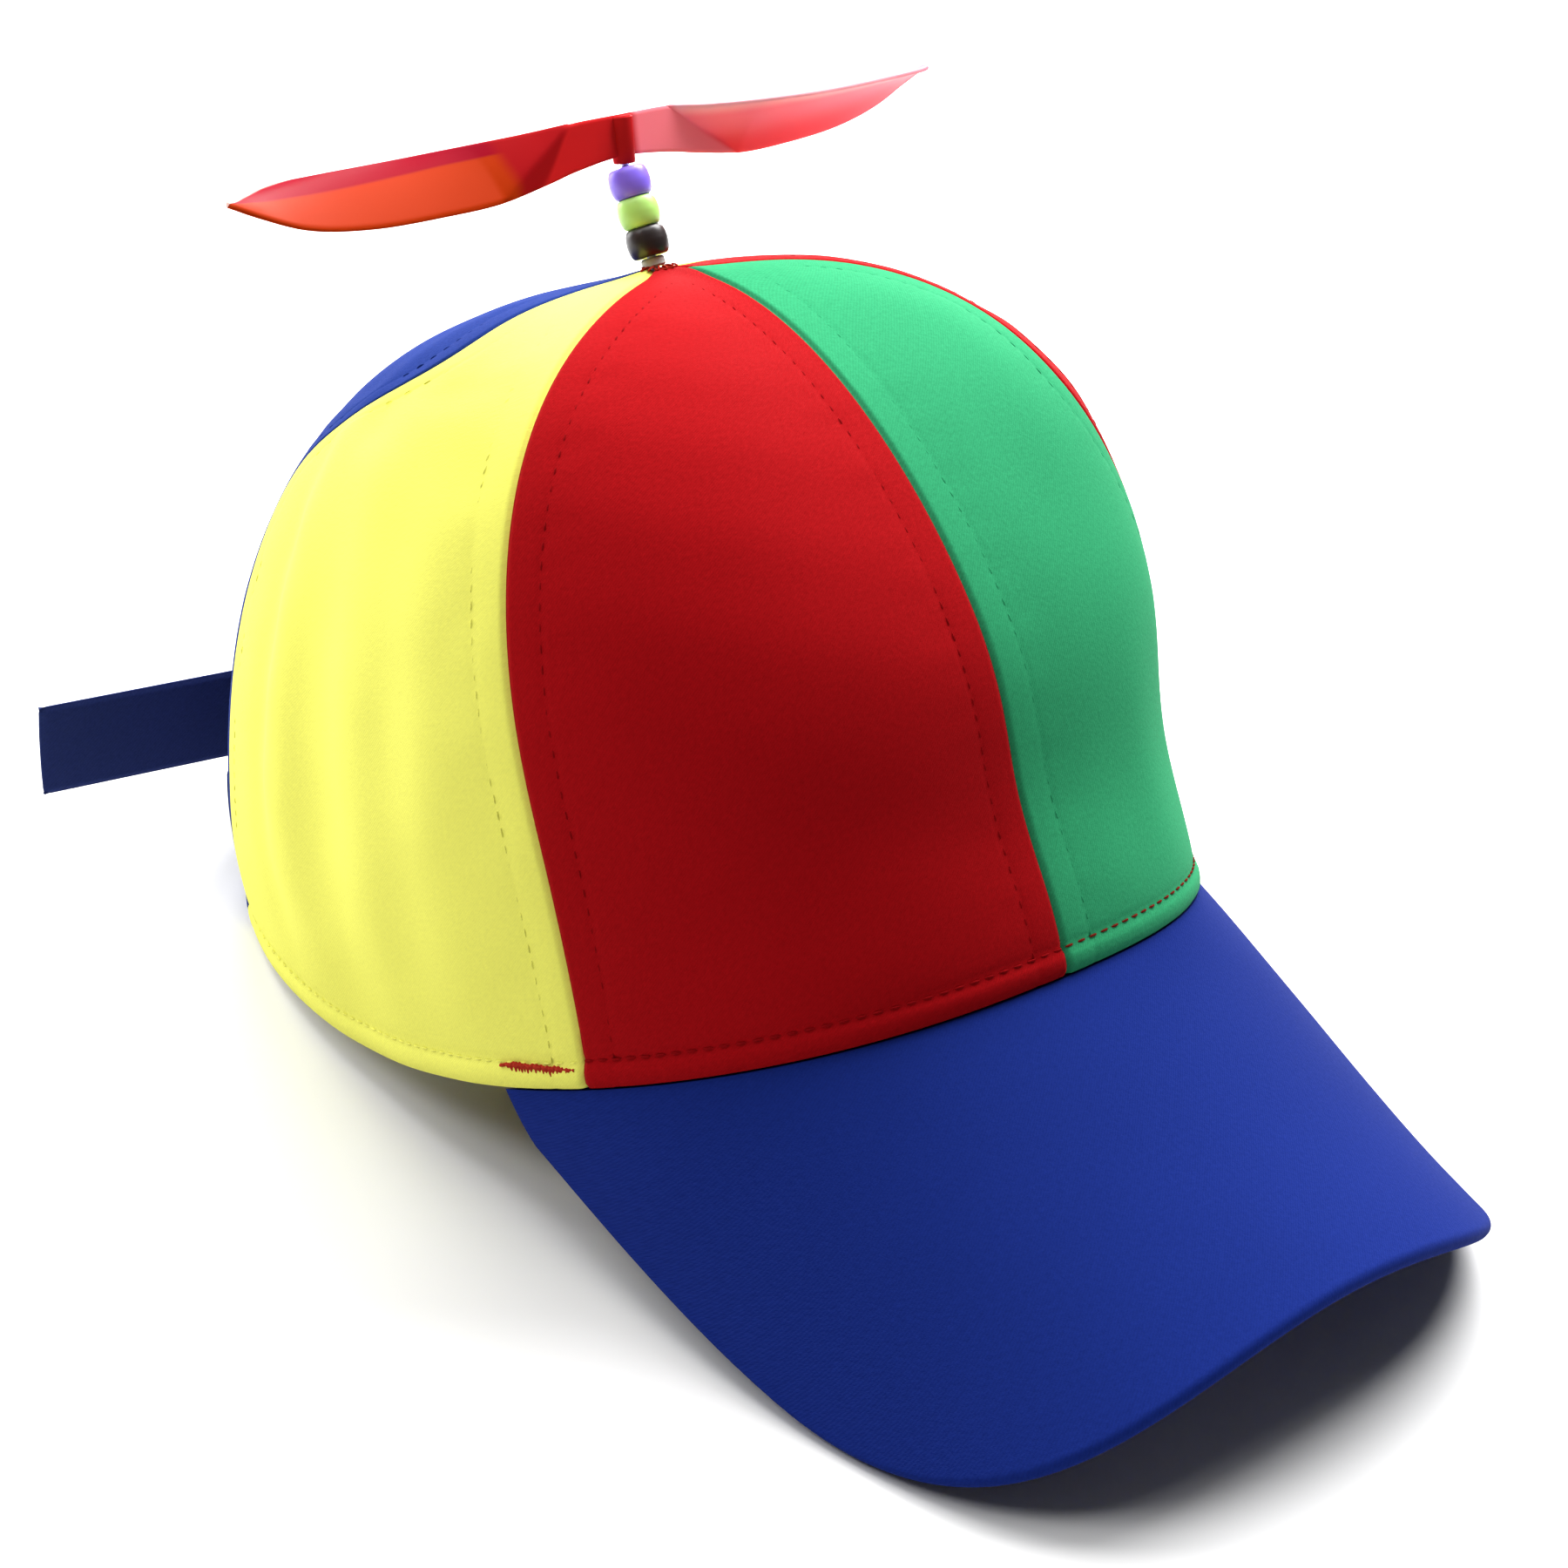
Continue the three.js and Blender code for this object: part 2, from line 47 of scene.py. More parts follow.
def add_node(tree, kind, links=(), **settings):
    node = tree.nodes.new(kind)
    for name, value in settings.items():
        setattr(node, name, value)
    for socket, source in links:
        if hasattr(source, "is_output"):
            tree.links.new(source, node.inputs[socket])
        else:
            node.inputs[socket].default_value = source
    return node


def arithmetic(tree, operation, *values):
    return add_node(tree, "ShaderNodeMath", list(enumerate(values)), operation=operation).outputs[0]


def new_material(name):
    material = bpy.data.materials.new(name)
    material.use_nodes = True
    return material, material.node_tree, material.node_tree.nodes["Principled BSDF"]


air_light = 0.08
world = bpy.data.worlds.new("tent")
world.use_nodes = True
tent = world.node_tree
seen = add_node(tent, "ShaderNodeLightPath").outputs["Is Camera Ray"]
glow = add_node(tent, "ShaderNodeMapRange", [("Value", seen), ("To Min", air_light), ("To Max", 1.0)])
tent.nodes["Background"].inputs["Color"].default_value = (1, 1, 1, 1)
tent.links.new(glow.outputs["Result"], tent.nodes["Background"].inputs["Strength"])
scene.world = world


lamps_aim = Vector((0, 0, 0.06))


def hang_light(name, place, across, watts):
    lamp = bpy.data.lights.new(name, "AREA")
    lamp.shape = "DISK"
    lamp.size = across
    lamp.energy = watts
    holder = bpy.data.objects.new(name, lamp)
    scene.collection.objects.link(holder)
    holder.location = place
    holder.rotation_euler = (lamps_aim - Vector(place)).to_track_quat("-Z", "Y").to_euler()


hang_light("overhead", (0, 0.1, 1.1), 0.9, 6.2)
hang_light("over_back", (0, 0.8, 0.9), 0.9, 15.4)
hang_light("over_left", (0.7, 0.2, 0.9), 0.8, 27)
hang_light("left_back", (0.8, 0.8, 0.45), 0.6, 13.6)
hang_light("over_right", (-0.7, 0.3, 0.9), 0.5, 4.2)
hang_light("right_back", (-0.45, 0.95, 0.2), 0.5, 4.5)

tabletop_mesh = bpy.data.meshes.new("tabletop")
table_half = 3.0
table_corners = [(-table_half, -table_half, 0), (table_half, -table_half, 0),
                 (table_half, table_half, 0), (-table_half, table_half, 0)]
tabletop_mesh.from_pydata(table_corners, [], [(0, 1, 2, 3)])
tabletop = bpy.data.objects.new("tabletop", tabletop_mesh)
scene.collection.objects.link(tabletop)
paper, sheet, paper_shader = new_material("pale_paper")
paper_shader.inputs["Base Color"].default_value = (0.7, 0.7, 0.7, 1)
paper_shader.inputs["Roughness"].default_value = 0.9
paper_shader.inputs["Specular IOR Level"].default_value = 0.1
paper_shader.inputs["Emission Color"].default_value = (1, 1, 1, 1)
where = add_node(sheet, "ShaderNodeTexCoord").outputs["Object"]
distance = add_node(sheet, "ShaderNodeVectorMath", [(0, where)], operation="LENGTH").outputs["Value"]
far = add_node(sheet, "ShaderNodeMapRange", [("Value", distance), ("From Min", 0.4), ("From Max", 1.0)],
               interpolation_type="SMOOTHSTEP").outputs["Result"]
seen = add_node(sheet, "ShaderNodeLightPath").outputs["Is Camera Ray"]
sheet.links.new(arithmetic(sheet, "MULTIPLY", far, seen), paper_shader.inputs["Emission Strength"])
tabletop_mesh.materials.append(paper)

lens = bpy.data.cameras.new("photo_camera")
lens.sensor_width = 36
lens.lens = 64.43
lens.clip_start = 0.01
camera = bpy.data.objects.new("photo_camera", lens)
scene.collection.objects.link(camera)
camera_right = Vector((0.77748, -0.62624, 0.05791))
camera_up = Vector((0.26701, 0.41205, 0.87116))
camera_ahead = Vector((0.56942, 0.66184, -0.48758))
camera_place = Vector((-0.28045, -0.3253, 0.28975))
camera_columns = (camera_right, camera_up, -camera_ahead, camera_place)
camera.matrix_world = Matrix([[column[k] for column in camera_columns] for k in range(3)] + [[0, 0, 0, 1]])
scene.camera = camera

# Crown panels. Six gores of fine cotton twill, cut so that they make a dome, sewn to each
# other along their long edges with the allowances pressed open, and turned under at the
# hem. Shapes are worked out in millimetres on the upright cap, which is then pitched back.
cap_pitch = math.radians(17.4732)
cap_place = np.array([1.858, 15.462, 10.098])
crown_half_width = 79
crown_front_reach = 92.75
crown_back_reach = 103.2
crown_height = 122.8
apex_forward = 8.5
forehead_hem_rise = 10
nape_hem_rise = 21.9
crown_end_power = 1.82
crown_ear_power = 3.11
plan_power = 2.27
brow_tuck = 0.05
ear_tuck = 0.07
cloth_thickness = 1.3
rod_offset_right = 1
rod_hole = 1.2
rod_pull_reach = 9
gathered_height = 0.9
gathered_reach = 5.5
crown_folds = np.array([
    # angle, height, half angle, half height, depth
    [78, 0.45, 6, 0.36, 0.012],
    [96, 0.4, 7, 0.34, 0.016],
    [112, 0.66, 9, 0.2, 0.03],
    [150, 0.55, 9, 0.25, 0.014],
    [262, 0.45, 8, 0.32, 0.016],
    [55, 0.34, 20, 0.18, 0.015],
    [305, 0.34, 22, 0.18, 0.042],
    [305, 0.8, 26, 0.14, -0.036],
    [315, 0.18, 20, 0.16, 0.02],
    [135, 0.1, 22, 0.16, -0.022],
])
foot_band = 0.16
crook_centre = 0.76
crook_band_below = 0.19
crook_band_above = 0.23
crook_flatness = 4
forehead_miss = 3
forehead_miss_bands = (0.45, 0.045)
forehead_tip_turn = 51
seam_run = 165
seams = {
    # angle, foot at the hem, bow at mid height, crook in the upper part
    "forehead": (0, 0, 0, 0),
    "right_side": (53.2, 0, 6, 0),
    "right_rear": (128, 7, 0, -40),
    "back": (180, 0, 0, 0),
    "left_rear": (232, -7, 0, 12),
    "left_side": (306.8, 0, 8, -8),
    "forehead_again": (360, 0, 0, 0),
}


def standing(points):
    p = np.asarray(points, float)
    c, s = math.cos(cap_pitch), math.sin(cap_pitch)
    turned = np.stack([p[..., 0], c * p[..., 1] + s * p[..., 2], c * p[..., 2] - s * p[..., 1]], axis=-1)
    return (turned + cap_place) / 1000


def smooth(low, high, value):
    t = np.clip((value - low) / (high - low), 0, 1)
    return t * t * (3 - 2 * t)


def swell(value, centre, band):
    return np.exp(-(((value - centre) / band) ** 2))


def facing(angle):
    front = np.maximum(np.cos(angle), 0) ** 2
    back = np.maximum(-np.cos(angle), 0) ** 2
    return front, 1 - front - back, back


def crown_power(angle):
    front, ear, back = facing(angle)
    return crown_end_power * front + crown_ear_power * ear + crown_end_power * back


def plan_radius(angle):
    reach = np.where(np.cos(angle) > 0, crown_front_reach, crown_back_reach)
    side = np.abs(np.sin(angle)) / crown_half_width
    along = np.abs(np.cos(angle)) / reach
    return (side ** plan_power + along ** plan_power) ** (-1 / plan_power)


def hem_height(angle):
    return np.where(np.cos(angle) > 0, forehead_hem_rise, nape_hem_rise) * np.cos(angle) ** 2


def tuck_at(angle, height):
    front, ear, _ = facing(angle)
    tuck = brow_tuck * front * swell(height, 0.25, 0.16) + ear_tuck * ear * swell(height, 0, 0.2)
    turn = np.degrees(angle) % 360
    for fold_angle, fold_height, half_angle, half_height, depth in crown_folds:
        tuck = tuck + depth * swell(turn, fold_angle, half_angle) * swell(height, fold_height, half_height)
    return tuck


def crown_point(angle, lift):
    power = crown_power(angle)
    across = np.cos(lift)
    up = np.maximum(np.sin(lift), 0)
    scale = (across ** power + up ** power) ** (-1 / power)
    height = up * scale
    radius = plan_radius(angle) * across * scale * (1 - tuck_at(angle, height))
    hem = hem_height(angle)
    x = -radius * np.sin(angle)
    y = -radius * np.cos(angle) - apex_forward * height
    near_rod = np.exp(-((radius / rod_pull_reach) ** 2))
    gathered = gathered_height * np.exp(-((radius / gathered_reach) ** 2))
    z = hem + (crown_height - hem) * height + gathered
    return np.stack([x - rod_offset_right * near_rod, y, z], axis=-1)


def crown_normal(angle, lift):
    step = 1e-3
    across = crown_point(angle + step, lift) - crown_point(angle - step, lift)
    up = crown_point(angle, lift + step) - crown_point(angle, np.maximum(lift - step, 0))
    normal = np.cross(up, across)
    return normal / np.linalg.norm(normal, axis=-1, keepdims=True)


def lift_at(angle, height):
    power = crown_power(angle)
    return np.arctan2(height, (1 - height ** power) ** (1 / power))


def apex_lift(angle, hole=rod_hole):
    power = crown_power(angle)
    across = hole / plan_radius(angle)
    return np.arctan2((1 - across ** power) ** (1 / power), across)


def seam_angle(seam, rise):
    angle, foot, bow, crook = seams[seam]
    band = np.where(rise < crook_centre, crook_band_below, crook_band_above)
    swing = np.exp(-(np.abs((rise - crook_centre) / band) ** crook_flatness))
    turn = angle + foot * swell(rise, 0, foot_band) + bow * np.sin(rise * np.pi) ** 2 + crook * swing
    if seam.startswith("forehead"):
        # this seam runs past the rod on the wearer's left, and hooks round at its tip
        from_apex = np.maximum(1 - rise, 1e-6)
        wide, narrow = forehead_miss_bands
        beside = forehead_miss * (swell(from_apex, 0, wide) + swell(from_apex, 0, narrow))
        turn = turn - np.minimum(forehead_tip_turn, np.degrees(np.arctan2(beside, seam_run * from_apex)))
    return np.radians(turn)


def height_of(points, angle):
    hem = hem_height(angle)
    return (points[..., 2] - hem) / (crown_height - hem)


def panel_place(first, second, rise, share):
    start, end = seam_angle(first, rise), seam_angle(second, rise)
    angle = start + (end - start) * share
    return angle, rise * apex_lift(angle)


def length_along(points, axis):
    steps = np.linalg.norm(np.diff(points, axis=axis), axis=-1)
    start = np.zeros_like(np.take(steps, [0], axis=axis))
    return np.concatenate([start, np.cumsum(steps, axis=axis)], axis=axis)


def ripple(u, v, seed, wavelengths):
    chance = np.random.default_rng(seed)
    total = 0
    for wavelength in wavelengths:
        turn, shift = chance.uniform(0, 2 * np.pi, 2)
        total = total + np.sin((u * np.cos(turn) + v * np.sin(turn)) * 2 * np.pi / wavelength + shift)
    return total / len(wavelengths)


def make_piece(name, points, faces, uv, body, material, crease=50):
    mesh = bpy.data.meshes.new(name)
    mesh.from_pydata(np.asarray(points).tolist(), [], faces)
    if uv is not None:
        layer = mesh.uv_layers.new(name="cloth")
        corners = np.zeros(len(mesh.loops), np.int32)
        mesh.loops.foreach_get("vertex_index", corners)
        layer.data.foreach_set("uv", np.asarray(uv, np.float32)[corners].ravel())
    mesh.materials.append(material)
    mesh.shade_smooth()
    mesh.set_sharp_from_angle(angle=math.radians(crease))
    piece = bpy.data.objects.new(name, mesh)
    scene.collection.objects.link(piece)
    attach(piece, body)
    return piece


def sheet_faces(rows, columns):
    size = rows * columns
    out = np.arange(size).reshape(rows, columns)
    inn = out + size
    quads = [np.stack([out[:-1, :-1], out[:-1, 1:], out[1:, 1:], out[1:, :-1]], -1).reshape(-1, 4),
             np.stack([inn[:-1, :-1], inn[1:, :-1], inn[1:, 1:], inn[:-1, 1:]], -1).reshape(-1, 4)]
    sides = ((out[:, 0], inn[:, 0]), (inn[:, -1], out[:, -1]), (inn[0], out[0]), (out[-1], inn[-1]))
    for a, b in sides:
        quads.append(np.stack([a[:-1], a[1:], b[1:], b[:-1]], -1))
    return np.concatenate(quads)


def sheet_piece(name, outside, inside, uv, body, material, crease=50):
    rows, columns = outside.shape[:2]
    points = np.concatenate([outside.reshape(-1, 3), inside.reshape(-1, 3)])
    faces = sheet_faces(rows, columns)
    corners = points[faces]
    volume = (corners[:, 0] * np.cross(corners[:, 1], corners[:, 2])).sum() \
        + (corners[:, 0] * np.cross(corners[:, 2], corners[:, 3])).sum()
    if volume < 0:
        faces = faces[:, ::-1]
    both = np.concatenate([uv.reshape(-1, 2), uv.reshape(-1, 2)])
    return make_piece(name, points, faces.tolist(), both, body, material, crease)


# Twill: diagonal ribs of yarn about half a millimetre apart, with slubs and a little
# unevenness in the dye. The cloth's own flat coordinates, in millimetres, carry it.
def noise(tree, where, scale, detail=2.0, **more):
    links = [("Vector", where), ("Scale", scale), ("Detail", detail)] + list(more.items())
    return add_node(tree, "ShaderNodeTexNoise", links).outputs["Fac"]


rib_spacing = 0.55
twill = bpy.data.node_groups.new("cotton twill", "ShaderNodeTree")
twill_inputs = {
    "Color": ("NodeSocketColor", (0.5, 0.5, 0.5, 1)),
    "Rib": ("NodeSocketFloat", rib_spacing),
    "Contrast": ("NodeSocketFloat", 0.2),
    "Mottle": ("NodeSocketFloat", 0.1),
}
for label, (kind, start) in twill_inputs.items():
    twill.interface.new_socket(name=label, in_out="INPUT", socket_type=kind).default_value = start
twill_outputs = {"Color": "NodeSocketColor", "Height": "NodeSocketFloat", "Roughness": "NodeSocketFloat"}
for label, kind in twill_outputs.items():
    twill.interface.new_socket(name=label, in_out="OUTPUT", socket_type=kind)

given = add_node(twill, "NodeGroupInput").outputs
flat = add_node(twill, "ShaderNodeUVMap", uv_map="cloth").outputs["UV"]
where = add_node(twill, "ShaderNodeTexCoord").outputs["Object"]
split = add_node(twill, "ShaderNodeSeparateXYZ", [(0, flat)]).outputs
turns = arithmetic(twill, "DIVIDE", arithmetic(twill, "ADD", split["X"], split["Y"]), given["Rib"])
bent = arithmetic(twill, "MULTIPLY_ADD", noise(twill, flat, 1.6, 3.0), 1.2, turns)
rib = arithmetic(twill, "SINE", arithmetic(twill, "MULTIPLY", bent, 2 * math.pi))
grain = arithmetic(twill, "SUBTRACT", noise(twill, flat, 1.3, 4.0, Roughness=0.7), 0.5)
height = arithmetic(twill, "MULTIPLY_ADD", rib, 0.1, grain)
yarn = arithmetic(twill, "MULTIPLY", height, given["Contrast"])
dye = arithmetic(twill, "SUBTRACT", noise(twill, where, 34.0, 4.0), 0.5)
patch = arithmetic(twill, "MULTIPLY_ADD", dye, given["Mottle"], yarn)
gain = arithmetic(twill, "ADD", patch, 1.0)
dyed = add_node(twill, "ShaderNodeVectorMath", [(0, given["Color"]), ("Scale", gain)], operation="SCALE")
dull = arithmetic(twill, "MULTIPLY_ADD", grain, -0.3, 0.88)
add_node(twill, "NodeGroupOutput", [("Color", dyed.outputs[0]), ("Height", height), ("Roughness", dull)])


def cloth_material(name, color, rib=rib_spacing, contrast=0.6, mottle=0.14, depth=0.00012):
    material, tree, shader = new_material(name)
    given = [("Color", (*color, 1)), ("Rib", rib), ("Contrast", contrast), ("Mottle", mottle)]
    weave = add_node(tree, "ShaderNodeGroup", node_tree=twill)
    for label, value in given:
        weave.inputs[label].default_value = value
    bump_links = [("Height", weave.outputs["Height"]), ("Strength", 0.6), ("Distance", depth)]
    bump = add_node(tree, "ShaderNodeBump", bump_links)
    tree.links.new(weave.outputs["Color"], shader.inputs["Base Color"])
    tree.links.new(weave.outputs["Roughness"], shader.inputs["Roughness"])
    tree.links.new(bump.outputs["Normal"], shader.inputs["Normal"])
    shader.inputs["Specular IOR Level"].default_value = 0.03
    shader.inputs["Sheen Weight"].default_value = 0.015
    shader.inputs["Sheen Roughness"].default_value = 0.45
    return material


cottons = {
    "cotton_red": cloth_material("red_twill", (0.3, 0.0026, 0.0045)),
    "cotton_yellow": cloth_material("yellow_twill", (0.79, 0.78, 0.135), contrast=0.24, mottle=0.08),
    "cotton_blue": cloth_material("blue_twill", (0.012, 0.032, 0.19)),
    "cotton_green": cloth_material("green_twill", (0.026, 0.27, 0.115)),
}

# Each gore has a groove at its seams, a slightly raised allowance beside them, a sunk
# line where it is topstitched, and a hem that is turned under and stitched.
panels = {
    "front_right_panel": ("forehead", "right_side", "cotton_red"),
    "right_side_panel": ("right_side", "right_rear", "cotton_yellow"),
    "back_right_panel": ("right_rear", "back", "cotton_blue"),
    "back_left_panel": ("back", "left_rear", "cotton_yellow"),
    "left_side_panel": ("left_rear", "left_side", "cotton_red"),
    "front_left_panel": ("left_side", "forehead_again", "cotton_green"),
}
creases = np.array([
    # angle, height, half angle, half height, rise in millimetres
    [105.5, 0.52, 4.5, 0.3, 1.7],
    [94, 0.5, 6, 0.3, -1.1],
    [113, 0.4, 3, 0.28, -1],
    [90, 0.83, 9, 0.05, 0.6],
    [98, 0.88, 6, 0.045, -0.6],
    [72, 0.5, 5, 0.3, 0.4],
    [150, 0.6, 8, 0.2, 0.6],
    [205, 0.7, 7, 0.2, 0.5],
    [255, 0.5, 6, 0.3, 0.8],
    [270, 0.45, 6, 0.3, -0.6],
])
topstitch_in = 6.2
hem_stitch_up = 4.6
panel_rows = 150
panel_columns = 90
even_columns = np.linspace(0, 1, panel_columns)
panel_shares = even_columns - 0.7 * np.sin(2 * np.pi * even_columns) / (2 * np.pi)
panel_rises = np.linspace(0, 1, panel_rows) ** 1.08
panel_objects = {}
panel_widths = {}
for order, (name, (first, second, slot)) in enumerate(panels.items()):
    rise, share = np.meshgrid(panel_rises, panel_shares, indexing="ij")
    angle, lift = panel_place(first, second, rise, share)
    base = crown_point(angle, lift)
    outward = crown_normal(angle, lift)
    across = length_along(base, 1)
    along = length_along(base, 0)
    width = across[:, -1:]
    panel_widths[name] = (panel_rises, width[:, 0], along[:, panel_columns // 2])
    edge = np.minimum(across, width - across)
    room = smooth(12, 34, width)
    line_wave = ripple(across, along, order, [31, 23, 17])
    offset = -0.7 * np.exp(-((edge / 0.5) ** 2))
    offset += 0.1 * (1 - smooth(topstitch_in - 3.4, topstitch_in + 0.4, edge)) * room
    offset -= 0.1 * swell(edge, topstitch_in, 0.5) * room
    pucker = ripple(across * 0.2, along, 40 + order, [6.5, 8.1, 11])
    offset += 0.08 * room * swell(edge, topstitch_in + 2, 4) * pucker
    offset += 0.6 * np.exp(-(((along - hem_stitch_up * 0.45) / 2) ** 4))
    offset -= 0.3 * swell(along, hem_stitch_up, 0.6)
    offset -= 0.35 * np.exp(-((along / 0.6) ** 2))
    looseness = 0.3 if slot == "cotton_yellow" else 0.14
    slack = looseness * line_wave
    height = height_of(base, angle)
    turn = np.degrees(angle) % 360
    for at_angle, at_height, half_angle, half_height, lift_out in creases:
        slack = slack + lift_out * swell(turn, at_angle, half_angle) * swell(height, at_height, half_height)
    slack = slack * smooth(0, 15, along) * smooth(0, 9, edge) * room
    offset += slack
    inner = -cloth_thickness + 0.3 * np.exp(-((along / 0.6) ** 2)) + slack
    outside = standing(base + outward * offset[..., None])
    inside = standing(base + outward * inner[..., None])
    uv = np.stack([across - width / 2, along], axis=-1)
    panel_objects[name] = sheet_piece(name + "_cloth", outside, inside, uv, "cap", cottons[slot])
    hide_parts(name)

# Rear opening. An arch above the strap, cut through both back gores, with its raw edge
# bound in a tape that is folded over it.
opening_half_width = 40
opening_height = 58
count = 96
arch_turns = np.linspace(0, 2 * np.pi, count, endpoint=False)
near_ring = np.stack([opening_half_width * np.cos(arch_turns), np.full(count, 55.0),
                      nape_hem_rise + opening_height * np.sin(arch_turns)], -1)
far_ring = near_ring + (0, 80, 0)
cutter_mesh = bpy.data.meshes.new("arch_cutter")
cutter_faces = [list(range(count)), list(range(2 * count - 1, count - 1, -1))]
cutter_faces += [[(i + 1) % count, i, count + i, count + (i + 1) % count] for i in range(count)]
cutter_points = np.concatenate([standing(near_ring), standing(far_ring)])
cutter_mesh.from_pydata(cutter_points.tolist(), [], cutter_faces)
cutter_mesh.uv_layers.new(name="cloth")
cutter = bpy.data.objects.new("arch_cutter", cutter_mesh)
scene.collection.objects.link(cutter)
arched_panels = ("back_right_panel", "back_left_panel")
for name in arched_panels:
    panel = panel_objects[name]
    cut = panel.modifiers.new("arch", "BOOLEAN")
    cut.operation = "DIFFERENCE"
    cut.solver = "EXACT"
    cut.object = cutter
    bpy.context.view_layer.update()
    shaped = bpy.data.meshes.new_from_object(panel.evaluated_get(bpy.context.evaluated_depsgraph_get()))
    panel.modifiers.clear()
    panel.data = shaped
bpy.data.objects.remove(cutter)


def lift_to(angle, z):
    hem = hem_height(angle)
    return lift_at(angle, np.clip((z - hem) / (crown_height - hem), 0, 0.999))


def nape_place(x, z):
    """Angle and lift of the crown's rear surface at a sideways place and a height."""
    low = np.full(np.shape(x), np.radians(110.0))
    high = np.full(np.shape(x), np.radians(250.0))
    for _ in range(40):
        middle = (low + high) / 2
        ahead = crown_point(middle, lift_to(middle, z))[..., 0] < x
        low = np.where(ahead, middle, low)
        high = np.where(ahead, high, middle)
    return middle, lift_to(middle, z)


def tape_sweep(name, rings, material):
    rows, columns = rings.shape[:2]
    index = np.arange(rows * columns).reshape(rows, columns)
    nxt = np.roll(index, -1, axis=1)
    faces = np.stack([index[:-1], nxt[:-1], nxt[1:], index[1:]], -1).reshape(-1, 4).tolist()
    faces += [index[0][::-1].tolist(), index[-1].tolist()]
    girth = length_along(rings, 1)
    run = length_along(rings, 0)
    uv = np.stack([girth, run], -1).reshape(-1, 2) * 1000
    return make_piece(name, rings.reshape(-1, 3), faces, uv, "cap", material)


navy_tape = cloth_material("navy_tape", (0.012, 0.02, 0.085), rib=0.8, contrast=0.35, depth=0.00015)
binding_wide = 4.5
binding_turn = np.linspace(0.02, np.pi - 0.02, 120)
binding_section = [
    # up from the arch's edge, out from the cloth
    (binding_wide, 0.05), (binding_wide - 0.4, 0.5), (2.6, 0.62), (0.4, 0.6), (-0.5, 0.15), (-0.8, -0.7),
    (-0.5, -1.5), (0.4, -1.95), (2.6, -1.95), (binding_wide - 0.4, -1.85), (binding_wide, -1.4),
]
section = []
for inward, height in binding_section:
    x = (opening_half_width + inward) * np.cos(binding_turn)
    z = nape_hem_rise + (opening_height + inward) * np.sin(binding_turn)
    angle, lift = nape_place(x, z)
    section.append(crown_point(angle, lift) + crown_normal(angle, lift) * height)
tape_sweep("arch_binding", standing(np.stack(section, 1)), navy_tape)

# Stitching. Cotton thread in the colour of each gore, two rows along every seam and one
# round the hem; each stitch is a short loop of twisted thread pulled down into the cloth.
def two_tone(tree, amount, dark, light, low=0.0, high=1.0):
    shade = add_node(tree, "ShaderNodeValToRGB", [("Fac", amount)])
    for element, color, position in zip(shade.color_ramp.elements, (dark, light), (low, high)):
        element.color = (*color, 1)
        element.position = position
    return shade.outputs["Color"]


def thread_material(name, color):
    material, tree, shader = new_material(name)
    where = add_node(tree, "ShaderNodeTexCoord").outputs["Object"]
    fuzz = noise(tree, where, 2600.0)
    shade = two_tone(tree, fuzz, [c * 0.75 for c in color], color, 0.3, 0.7)
    bump = add_node(tree, "ShaderNodeBump", [("Height", fuzz), ("Strength", 0.5), ("Distance", 0.0001)])
    tree.links.new(shade, shader.inputs["Base Color"])
    tree.links.new(bump.outputs["Normal"], shader.inputs["Normal"])
    shader.inputs["Roughness"].default_value = 0.9
    shader.inputs["Specular IOR Level"].default_value = 0.04
    return material


threads = {
    # the red gore's thread is a little darker than the cloth: painted shade for the dark stitch dots
    "cotton_red": thread_material("red_thread_painted_shade", (0.25, 0.0022, 0.0038)),
    "cotton_yellow": thread_material("yellow_thread", (0.86, 0.84, 0.16)),
    "cotton_blue": thread_material("blue_thread", (0.012, 0.032, 0.19)),
    "cotton_green": thread_material("green_thread", (0.03, 0.31, 0.135)),
    "hem": thread_material("russet_thread", (0.16, 0.012, 0.006)),
    "tack": thread_material("bright_russet_thread", (0.42, 0.03, 0.016)),
}


def stitches(name, centres, directions, normals, length, thick, material):
    """One mesh of many stitches: each is a six-sided loop of thread, sunk at both ends."""
    directions = directions / np.linalg.norm(directions, axis=-1, keepdims=True)
    sideways = np.cross(normals, directions)
    sides = 6
    rings = [(-0.5, 0.35, -0.5), (-0.32, 0.95, 0.05), (0, 1.05, 0.25), (0.32, 0.95, 0.05), (0.5, 0.35, -0.5)]
    turns = np.linspace(0, 2 * np.pi, sides, endpoint=False)
    points = []
    for share, girth, lift in rings:
        for turn in turns:
            aside = math.cos(turn) * girth * thick / 2
            proud = math.sin(turn) * girth * thick / 2 + lift * thick / 2
            points.append(centres + directions * (share * length) + sideways * aside + normals * proud)
    points = np.stack(points, 1)
    faces = []
    for k in range(len(rings) - 1):
        for i in range(sides):
            j = (i + 1) % sides
            faces.append([k * sides + i, k * sides + j, (k + 1) * sides + j, (k + 1) * sides + i])
    caps = [list(range(sides))[::-1], [(len(rings) - 1) * sides + i for i in range(sides)]]
    each = len(rings) * sides
    every = [[index + n * each for index in face] for n in range(len(centres)) for face in faces + caps]
    return make_piece(name, standing(points).reshape(-1, 3), every, None, "cap", material)


topstitch_pitch = 2.9
hem_stitch_pitch = 2.7


